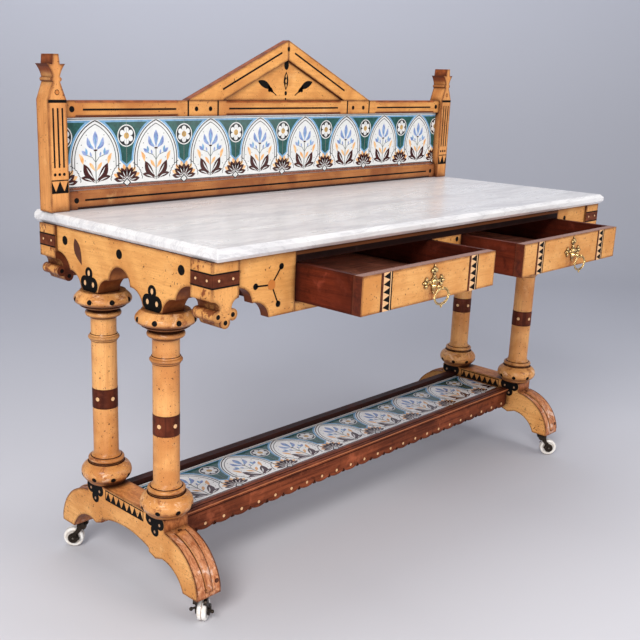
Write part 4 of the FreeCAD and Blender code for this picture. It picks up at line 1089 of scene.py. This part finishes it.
# The lily's lower leaves, to the right of its stem: ends, width, steps, bend, peak, rise, colour.
LEAVES = (
    ((21, 76), (33, 86), 7.2, 10, 0.0, 0.5, 0.22, "blue"),
    ((20, 77), (23, 91), 5.4, 8, 0.0, 0.5, 0.24, "sky"),
    ((10, 73), (13, 83), 4.2, 8, 0.0, 0.5, 0.22, "blue"),
    ((30, 58), (39, 80), 8.0, 8, 2.0, 0.5, 0.20, "ochre"),
    ((1, 24), (29, 60), 17.0, 12, -4.0, 0.58, 0.22, "maroon"),
    ((5, 30), (22, 52), 3.0, 8, -1.5, 0.5, 0.27, "white"),
    ((2, 21), (36, 33), 10.5, 12, 3.0, 0.6, 0.24, "maroon"),
    ((7, 23), (28, 31), 2.2, 8, 1.5, 0.5, 0.28, "white"),
    ((1, 44), (15, 62), 7.0, 10, 0.0, 0.6, 0.20, "ochre"),
)


def clip_across(points, low, high):
    """Keeps the part of an outline that lies between two upright lines."""
    for limit, inward in ((low, 1), (high, -1)):
        kept = []
        for before, here in zip(points[-1:] + points[:-1], points):
            was, now = (before[0] - limit) * inward >= 0, (here[0] - limit) * inward >= 0
            if was != now:
                share = (limit - before[0]) / (here[0] - before[0])
                kept.append((limit, before[1] + (here[1] - before[1]) * share))
            if now:
                kept.append(here)
        points = kept
        if len(points) < 3:
            return []
    return points


def clip_path(path, low, high):
    """Cuts an open line to the stretches that lie between two upright lines."""
    pieces, piece = [], []
    for before, here in zip(path, path[1:]):
        left, right = sorted((before[0], here[0]))
        if right <= low or left >= high:
            pieces.append(piece)
            piece = []
            continue
        cut = []
        for x, y in (before, here):
            near = min(max(x, low), high)
            if right - left > 1e-6:
                share = (near - before[0]) / (here[0] - before[0])
                y = before[1] + (here[1] - before[1]) * share
            cut.append((near, y))
        piece = (piece or cut[:1]) + cut[1:]
        if cut[1] != here:
            pieces.append(piece)
            piece = []
    return [found for found in pieces + [piece] if len(found) > 1]


def arch_side(radius, foot=None, ceiling=144.4, steps=16):
    """The right half of a pointed arch, from its springing to its crown."""
    centre = ARCH_HALF - ARCH_RADIUS
    crown = math.acos(-centre / radius)
    top = min(crown, math.asin(min(1.0, (ceiling - ARCH_SPRING) / radius)))
    path = arc(centre, ARCH_SPRING, radius, 0, math.degrees(top), steps)
    return ([(path[0][0], foot)] if foot else []) + path


def palm(reach, angle):
    """A point at a distance and an angle, in degrees, from the foot of the palm leaf."""
    a = math.radians(180 - angle)
    return (HALF + reach * math.cos(a), PALM_Z + reach * math.sin(a))


class Print:
    """One tile's print, drawn about the middle of its foot and cut at the tile's edges."""

    SINK = -0.3

    def __init__(self, build, place, middle, foot, low, high):
        self.build = build
        self.low, self.high = low, high
        self.place = lambda a, b, h: place(middle + a, foot + b, h)

    def area(self, outline, rise, key, hands=(-1, 1)):
        for hand in hands:
            cut = clip_across([(hand * x, y) for x, y in outline], self.low, self.high)
            twice = sum(a[0] * b[1] - b[0] * a[1] for a, b in zip(cut, cut[1:] + cut[:1]))
            if abs(twice) > 1.0:
                self.build.prism(cut, self.place, self.SINK, rise, GLAZES[key])

    def stroke(self, path, width, rise, key, hands=(-1, 1)):
        for hand in hands:
            for piece in clip_path([(hand * x, y) for x, y in path], self.low, self.high):
                if sum(math.dist(a, b) for a, b in zip(piece, piece[1:])) > 0.8:
                    self.build.line(piece, width, self.place, self.SINK, rise, GLAZES[key])


def tile_print(*settings):
    """Each shape is drawn on both sides of the tile's middle, or once across it."""
    t = Print(*settings)
    once = (1,)
    t.area(rect(-HALF, 8.8, HALF, 14.6), 0.10, "brown", once)
    t.stroke([(-HALF, 15.6), (HALF, 15.6)], 1.5, 0.16, "line", once)
    t.stroke([(-HALF, 147.2), (HALF, 147.2)], 1.3, 0.16, "line", once)
    # spandrels between the arches
    t.area(arch_side(88.2) + [(HALF, 144.4), (HALF, 48.0)], 0.10, "sky")
    t.area(arch_side(92.8, ceiling=140.6) + [(HALF, 140.6), (HALF, 55.0)], 0.16, "teal")
    t.area(circle(HALF, ROSE_Z, 22.5, 36), 0.20, "white")
    t.area(circle(HALF, ROSE_Z, 20.3, 36), 0.24, "line")
    for a, b in ((0, 12.0), (-10.4, 6.0), (-10.4, -6.0), (0, -12.0)):
        t.area(circle(HALF + a, ROSE_Z + b, 5.7, 18), 0.28, "white")
    t.area(circle(HALF, ROSE_Z, 9.6, 22), 0.31, "white")
    t.area(circle(HALF, ROSE_Z, 6.4, 20), 0.34, "gold")
    # arches
    t.stroke(arch_side(85.2, 46.0, 150.0), 2.2, 0.22, "line")
    t.stroke(arch_side(78.6, 50.0, 150.0), 1.5, 0.22, "line")
    t.stroke([(56.1, 46.5), (60.5, 41.5), (67.0, 39.6), (HALF, 39.0)], 2.0, 0.22, "line")
    # palm leaves that stand at the tile's edges
    for angle, reach, width in ((90, 30, 11.5), (63, 31, 11.5), (36, 32, 11.5), (9, 33, 10.0)):
        t.area(lens(palm(5, angle), palm(reach, angle), width, 10, peak=0.6), 0.22, "maroon")
        t.area(lens(palm(9, angle), palm(reach * 0.72, angle), 1.8, 8), 0.27, "white")
    for angle in (77, 51, 25):
        t.area(lens(palm(17, angle), palm(36, angle), 8.0, 8, peak=0.6), 0.18, "ochre")
    scallop = []
    for i in range(25):
        scallop.append(palm(39 + 1.7 * abs(math.sin(6 * math.pi * i / 24)), 4 + 62 * i / 24))
    t.stroke(scallop, 1.4, 0.20, "line")
    diamond = [(HALF - 10.5, 17.5), (HALF, 27.5), (HALF + 10.5, 17.5), (HALF, 9.0)]
    inner = [(HALF + (a - HALF) * 0.70, 17.8 + (b - 17.8) * 0.70) for a, b in diamond]
    t.area(diamond, 0.30, "line")
    t.area(inner, 0.34, "white")
    # the lily, its stem and the leaves at its foot
    t.stroke([(0, 20), (0, 88)], 1.8, 0.20, "grey", once)
    t.area(lens((1.2, 86), (19, 112), 9.5, 12, bend=-5.0, peak=0.6), 0.22, "blue")
    t.area(lens((3.0, 90), (15, 108), 2.6, 8, bend=-3.0), 0.26, "sky")
    t.area(lens((0, 87), (0, 124), 12.0, 12, peak=0.6), 0.28, "blue", once)
    t.area(lens((0, 94), (0, 116), 3.6, 8), 0.32, "sky", once)
    t.area(rect(-4.0, 84.5, 4.0, 87.5), 0.34, "maroon", once)
    t.stroke([(0, 62), (8, 72), (22, 77)], 1.2, 0.20, "grey")
    for start, end, width, steps, bend, peak, rise, key in LEAVES:
        t.area(lens(start, end, width, steps, bend, peak), rise, key)
    for x, y in ((36, 46), (25, 66), (33, 97), (44, 62), (21, 116)):
        t.area(circle(x, y, 1.1, 8), 0.2, "grey")


EDGE_GAP = 0.4
TRAY_JOINT = 66.0
SPLASH_FOOT, SPLASH_LOW, SPLASH_HIGH = 748.5, 757.5, 898.5
TRAY_FOOT, TRAY_LOW, TRAY_HIGH = 3.05, 3.5, 155.0
GROUT_WIDTH, GROUT_RISE = 0.7, 0.05
build = Inlay(on_y(TILE_Y, -1))
for number in range(8):
    middle = (number - 3.5) * TILE
    tile_print(build, build.place, middle, SPLASH_FOOT, EDGE_GAP - HALF, HALF - EDGE_GAP)
    if number:
        build.upright(middle - HALF, SPLASH_LOW, SPLASH_HIGH, GROUT_WIDTH, GROUT, GROUT_RISE)
build.make("splash_prints", "stand", "tile")

build = Inlay(on_z(TRAY_Z, 1))
for number in range(-5, 4):
    joint = TRAY_JOINT + number * TILE
    low = max(-TRAY_HALF, joint + EDGE_GAP)
    high = min(TRAY_HALF, joint + TILE - EDGE_GAP)
    middle = joint + HALF
    tile_print(build, build.place, middle, TRAY_FOOT, low - middle, high - middle)
    if joint > -TRAY_HALF:
        build.upright(joint, TRAY_LOW, TRAY_HIGH, GROUT_WIDTH, GROUT, GROUT_RISE)
build.make("tray_prints", "stand", "tile")


# Drawer fronts: borders of triangles and the gilt pulls ---------------------------
def zigzag(build, x, low, high, count=5):
    """A border of black and light triangles between a mahogany and a black line."""
    for left, right, rise, material in (
        (-17.0, 12.6, 0.12, LIGHT_WOOD),
        (-17.0, -11.2, 0.20, MAHOGANY_STRAP),
        (-17.6, -16.4, 0.26, EBONY),
        (5.2, 7.0, 0.22, EBONY),
        (9.4, 12.6, 0.22, EBONY),
    ):
        build.shape(rect(x + left, low, x + right, high), material, rise)
    pitch = (high - low) / count
    for number in range(count):
        z = low + number * pitch
        triangle = [(x + 6.6, z), (x + 6.6, z + pitch), (x - 11.0, z + pitch / 2)]
        build.shape(triangle, EBONY, 0.2)


BORDER_XS = (-132.0, 128.0)
BORDER_LOW, BORDER_HIGH = 605.6, 673.4
for side, sign in SIDES.items():
    build = Inlay(on_y(DRAWER_Y, -1))
    for x in BORDER_XS:
        zigzag(build, sign * DRAWER_X + x, BORDER_LOW, BORDER_HIGH)
    build.make("drawer_borders_" + side, "drawer_" + side, "maple")

PLATE_Z = 639.5
EYE_Z = PLATE_Z - 8.0
EYE_OUT = 20.0
NECK = (
    (0, 0), (5.8, 0), (4.8, 2.6), (3.2, 4.6), (2.7, 8.0),
    (3.8, 9.6), (3.8, 11.0), (2.7, 12.4), (2.5, 15.6), (0, 15.6),
)
FORWARD = Matrix(((1, 0, 0), (0, 0, -1), (0, 1, 0)))


def pull_plate(build, x):
    """A cross with trefoil ends, cast with a raised middle, and a post with an eye."""

    def slab(outline, thick):
        build.prism(outline, on_y(DRAWER_Y, -1), 0, thick, BRASS)

    def knob(a, b, out, radius, stretch=(1, 1, 1)):
        build.ball((a, DRAWER_Y - out, b), radius, BRASS, stretch)

    z = PLATE_Z
    slab(lobed((x, z), [(x, z, 9.0), (x - 5, z, 6), (x + 5, z, 6), (x, z + 5, 6)], 48), 2.2)
    knob(x, z, 2.4, 6.6, (1, 0.55, 1))
    for across, up, reach in ((-1, 0, 22.0), (1, 0, 22.0), (0, 1, 20.0)):
        def along(far, aside=0.0):
            return (x + across * far + up * aside, z + up * far + across * aside)

        waist = ((0.0, 3.4), (reach / 2, 3.4 * 0.55), (reach, 3.4))
        edge = [along(far, half) for far, half in waist]
        slab(edge + [along(far, -half) for far, half in waist[::-1]], 2.0)
        knob(*along(reach / 2), 1.8, 3.0, (1.1, 0.7, 1.1))
        slab(lens(along(reach - 3), along(reach + 9.8), 9.0, 12, peak=0.45), 2.0)
        for hand in (-1, 1):
            lobe = along(reach + 0.6, hand * 6.0)
            slab(circle(*lobe, 4.1, 18), 2.0)
            knob(*lobe, 1.6, 3.0, (1, 0.7, 1))
        knob(*along(reach + 3.4), 1.6, 3.1, (1, 0.8, 1))
        knob(*along(reach + 9.6), 1.4, 1.7)
    slab(lens((x, z - 3), (x, z - 20), 12.5, 12, peak=0.45), 1.8)
    knob(x, z - 20.0, 1.4, 2.1)
    build.turned(NECK, (x, DRAWER_Y - 1.5, EYE_Z), BRASS, 28, FORWARD)
    eye = [(x, DRAWER_Y - EYE_OUT + a, EYE_Z + b) for a, b in circle(0, 0, 2.8, 28)]
    build.tube(eye, 1.1, BRASS, 12, True)


def ring_pull(build, x):
    """An oval ring of round wire with a knob at each side and a drop below."""
    y, z, wide, tall = DRAWER_Y - EYE_OUT, EYE_Z, 21.6, 15.3
    for inset, wire, back in ((0.0, 1.45, 0.0), (2.6, 0.8, 0.5)):
        loop = []
        for b, a in circle(0, 0, 1.0, 72):
            loop.append((x + (wide - inset) * a, y + back, z - tall + (tall - inset) * b))
        build.tube(loop, wire, BRASS, 14, True)
    for hand in (-1, 1):
        for aside, down, radius in ((21.8, tall, 2.7), (24.6, tall, 1.5), (14.5, 4.0, 1.9)):
            build.ball((x + hand * aside, y, z - down), radius, BRASS)
    build.ball((x, y, z - 31.6), 2.6, BRASS)
    build.ball((x, y, z - 34.8), 1.7, BRASS)
    build.ball((x, y, z - 0.4), 2.2, BRASS, (1.5, 1, 1))


for side, sign in SIDES.items():
    build = Build()
    pull_plate(build, sign * DRAWER_X)
    plate = "pull_%s_plate" % side
    build.make("pull_plate_cast_" + side, "drawer_" + side, "brass", 40, replaces=[plate])
    build = Build()
    ring_pull(build, sign * DRAWER_X)
    ring = "pull_%s_ring" % side
    build.make("pull_ring_cast_" + side, "ring_" + side, "brass", 50, replaces=[ring])


# Casters ---------------------------------------------------------------------------
CASTER_Y = 200
AXLE_Z, TRAIL = 22.0, 14.0
SWIVEL = {"front_left": 0.10, "rear_left": 0.37, "front_right": 0.87, "rear_right": 0.62}
WHEEL = (
    [(3.1, -9.0), (9.0, -9.0), (10.5, -7.6), (13.5, -7.2), (15.2, -8.4)]
    + arc(17.3, -4.7, 4.3, -110, -8)
    + [(21.3, -2.4), (20.9, 0), (21.3, 2.4)]
    + arc(17.3, 4.7, 4.3, 8, 110)
    + [(15.2, 8.4), (13.5, 7.2), (10.5, 7.6), (9.0, 9.0), (3.1, 9.0)]
)
LEG = [(-10, 63.5), (-10.5, 56), (-8.5, 48), (-3.5, 40), (3.0, 33.0), (5.2, 27.0), (5.0, 17.0)]
LEG += [(9.0, 13.0), (14, 12.0), (19.0, 13.5), (22.5, 17.5), (23.0, 24.0), (20.0, 29.5)]
LEG += [(14.0, 34.0), (8.5, 39.5), (5.5, 46.0), (5.0, 54), (5.0, 63.5)]
HORN = ((5, 28, 12.0), (3.6, 28.2, 14.6), (2.4, 27.8, 17.0), (1.4, 27.0, 19.2))


def caster(key, share):
    """A porcelain wheel in a cast fork, swivelled by a share of a turn."""
    end, side = key.split("_")
    stem = Vector((SIDES[side] * BEAM_X, FRAME_Y + (-1 if end == "front" else 1) * CASTER_Y, 0))
    angle = math.tau * share
    trail = Vector((math.cos(angle), math.sin(angle), 0))
    across = Vector((-math.sin(angle), math.cos(angle), 0))

    def local(a, b, h):
        """A along the trail, b up, h across it."""
        return tuple(stem + trail * a + across * h + Vector((0, 0, b)))

    def top(a, b, h):
        return local(a, h, b)

    hub = local(TRAIL, AXLE_Z, 0)
    spin = Matrix((trail, -across.cross(trail), across)).transposed()
    wheel = Build()
    wheel.turned(WHEEL, hub, PORCELAIN, 64, spin)
    wheel.turned([(20.0, -0.7), (21.05, -0.7), (21.05, 0.7), (20.0, 0.7)], hub, WORN_LINE, 64, spin)
    wheel.make("wheel_" + key, "wheel_" + key, "porcelain", 50, replaces=["caster_wheel_" + key])
    fork = Build()
    for hand in (-1, 1):
        def cheek(a, b, h):
            return local(a, b, hand * h)

        fork.prism(LEG, cheek, 10.1, 12.3, DARK_BRASS)
        fork.prism(circle(TRAIL, AXLE_Z, 11.2, 32), cheek, 10.1, 13.2, DARK_BRASS)
        fork.prism(circle(TRAIL, AXLE_Z, 6.4), cheek, 10.1, 14.0, DARK_BRASS)
        fork.ball(cheek(TRAIL, AXLE_Z, 14.0), 2.6, IRON_PIN)
        fork.prism(circle(-9.0, 50.5, 6.2), cheek, 6.5, 13.2, DARK_BRASS)
        fork.tube([cheek(*spot) for spot in HORN], [2.8, 2.4, 2.1, 1.9], DARK_BRASS, 10)
        fork.ball(cheek(1.0, 26.6, 20.2), 3.6, DARK_BRASS)
    fork.prism(rect(-7.0, -12.3, 5.0, 12.3), top, 54.0, 58.0, DARK_BRASS)
    fork.prism(circle(0, 0, 13.6, 40), top, 60.4, 63.6, DARK_BRASS)
    fork.prism(circle(0, 0, 8.8, 32), top, 57.0, 61.0, DARK_BRASS)
    fork.turned([(0, -12), (2.9, -12), (2.9, 12), (0, 12)], hub, IRON_PIN, 24, spin)
    fork.turned([(0, 60), (4.9, 60), (4.9, 88), (0, 88)], stem, DARK_BRASS, 24)
    fork.make("fork_" + key, "fork_" + key, "dark_brass", 40, replaces=["caster_fork_" + key])


for key, share in SWIVEL.items():
    caster(key, share)


# Studio ------------------------------------------------------------------------------
PHOTO, SENSOR = 640.0, 36.0
CAMERA = (-1614.528, -1365.552 + MARBLE_Y, 989.169)
YAW, PITCH, ROLL, FOCAL = 0.78128086, -0.27093475, 0.02702809, 930.517
PRINCIPAL = (267.992, 333.441)
camera = bpy.data.objects.new("camera", bpy.data.cameras.new("camera"))
bpy.context.scene.collection.objects.link(camera)
flat = Vector((math.sin(YAW), math.cos(YAW), 0))
level = Vector((flat.y, -flat.x, 0))
ahead = math.cos(PITCH) * flat + Vector((0, 0, math.sin(PITCH)))
upward = level.cross(ahead)
right = math.cos(ROLL) * level + math.sin(ROLL) * upward
above = -math.sin(ROLL) * level + math.cos(ROLL) * upward
turn = Matrix((right, above, -ahead)).transposed().to_4x4()
camera.matrix_world = Matrix.Translation(Vector(CAMERA) * MM) @ turn
camera.data.sensor_width = SENSOR
camera.data.lens = FOCAL * SENSOR / PHOTO
camera.data.shift_x = 0.5 - PRINCIPAL[0] / PHOTO
camera.data.shift_y = PRINCIPAL[1] / PHOTO - 0.5
camera.data.clip_start = 0.01
camera.data.clip_end = 100.0
bpy.context.scene.camera = camera


def backdrop(bend=2.6, radius=1.6, near=-6.0, top=9.0, half=9.0):
    """A floor that curves up into a wall behind the object, square to the camera."""
    curve = [(a, b) for a, b in arc(bend, radius, radius, -90, 0, 16)]
    profile = [(near, 0.0)] + curve + [(bend + radius, top)]
    points = []
    for along, height in profile:
        for reach in (-half, half):
            points.append(tuple(flat * along + level * reach + Vector((0, 0, height))))
    faces = [[2 * i, 2 * i + 1, 2 * i + 3, 2 * i + 2] for i in range(len(profile) - 1)]
    mesh = bpy.data.meshes.new("studio_backdrop")
    mesh.from_pydata(points, [], faces)
    mesh.shade_smooth()
    g = Graph("studio_paper")
    distance = g.math("ADD", g.times(g.at("X"), flat.x), g.times(g.at("Y"), flat.y))
    # Painted shade and light on the paper: darker with distance along the view, lighter again up
    # the wall.
    colour = g.layers(
        (0.66, 0.652, 0.688),
        (g.ramp(distance, -1.3, 2.2), (0.42, 0.427, 0.480)),
        (g.ramp(g.at("Z"), 0.2, 2.4), (0.59, 0.61, 0.695)),
    )
    mesh.materials.append(g.finish(colour, 0.75, specular_ior_level=0.2))
    item = bpy.data.objects.new("studio_backdrop", mesh)
    bpy.context.scene.collection.objects.link(item)
    item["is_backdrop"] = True


def lamp(name, place, target, size, power, colour=(1, 1, 1)):
    data = bpy.data.lights.new(name, "AREA")
    data.shape = "RECTANGLE"
    data.size, data.size_y = size
    data.energy = power
    data.color = colour
    item = bpy.data.objects.new(name, data)
    item.location = place
    item.rotation_euler = (Vector(target) - Vector(place)).to_track_quat("-Z", "Y").to_euler()
    bpy.context.scene.collection.objects.link(item)


backdrop()
WARM = (1.0, 0.985, 0.96)
lamp("key_left", (-4.6, -2.3, 4.0), (0, 0, 0.45), (2.0, 2.0), 240, WARM)
lamp("low_left", (-3.4, -2.8, 0.95), (0.1, 0, 0.35), (2.0, 1.0), 54, WARM)
lamp("fill_front", (0.6, -3.5, 2.3), (0.1, 0, 0.40), (1.8, 1.4), 35, (0.98, 0.99, 1.0))
lamp("right_front", (2.4, -2.8, 1.2), (0.6, 0, 0.35), (1.2, 1.2), 16, (1.0, 0.99, 0.97))
lamp("low_front", (-0.6, -3.4, 1.0), (0.2, 0, 0.16), (2.4, 0.8), 6, (1.0, 0.99, 0.98))
lamp("top", (0.0, 0.2, 3.8), (0, 0.1, 0.4), (2.6, 2.0), 40)
lamp("wall_wash", (0.0, 1.9, 3.0), (1.8, 3.8, 1.0), (3.0, 1.2), 29, (0.97, 0.98, 1.0))
world = bpy.data.worlds.new("studio")
world.use_nodes = True
world.node_tree.nodes["Background"].inputs["Color"].default_value = (0.93, 0.95, 1.0, 1.0)
world.node_tree.nodes["Background"].inputs["Strength"].default_value = 0.32
bpy.context.scene.world = world
bpy.context.scene.view_settings.view_transform = "Standard"

low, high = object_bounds()
{"cad": [list(cad_low), list(cad_high)], "visual": [list(low), list(high)]}
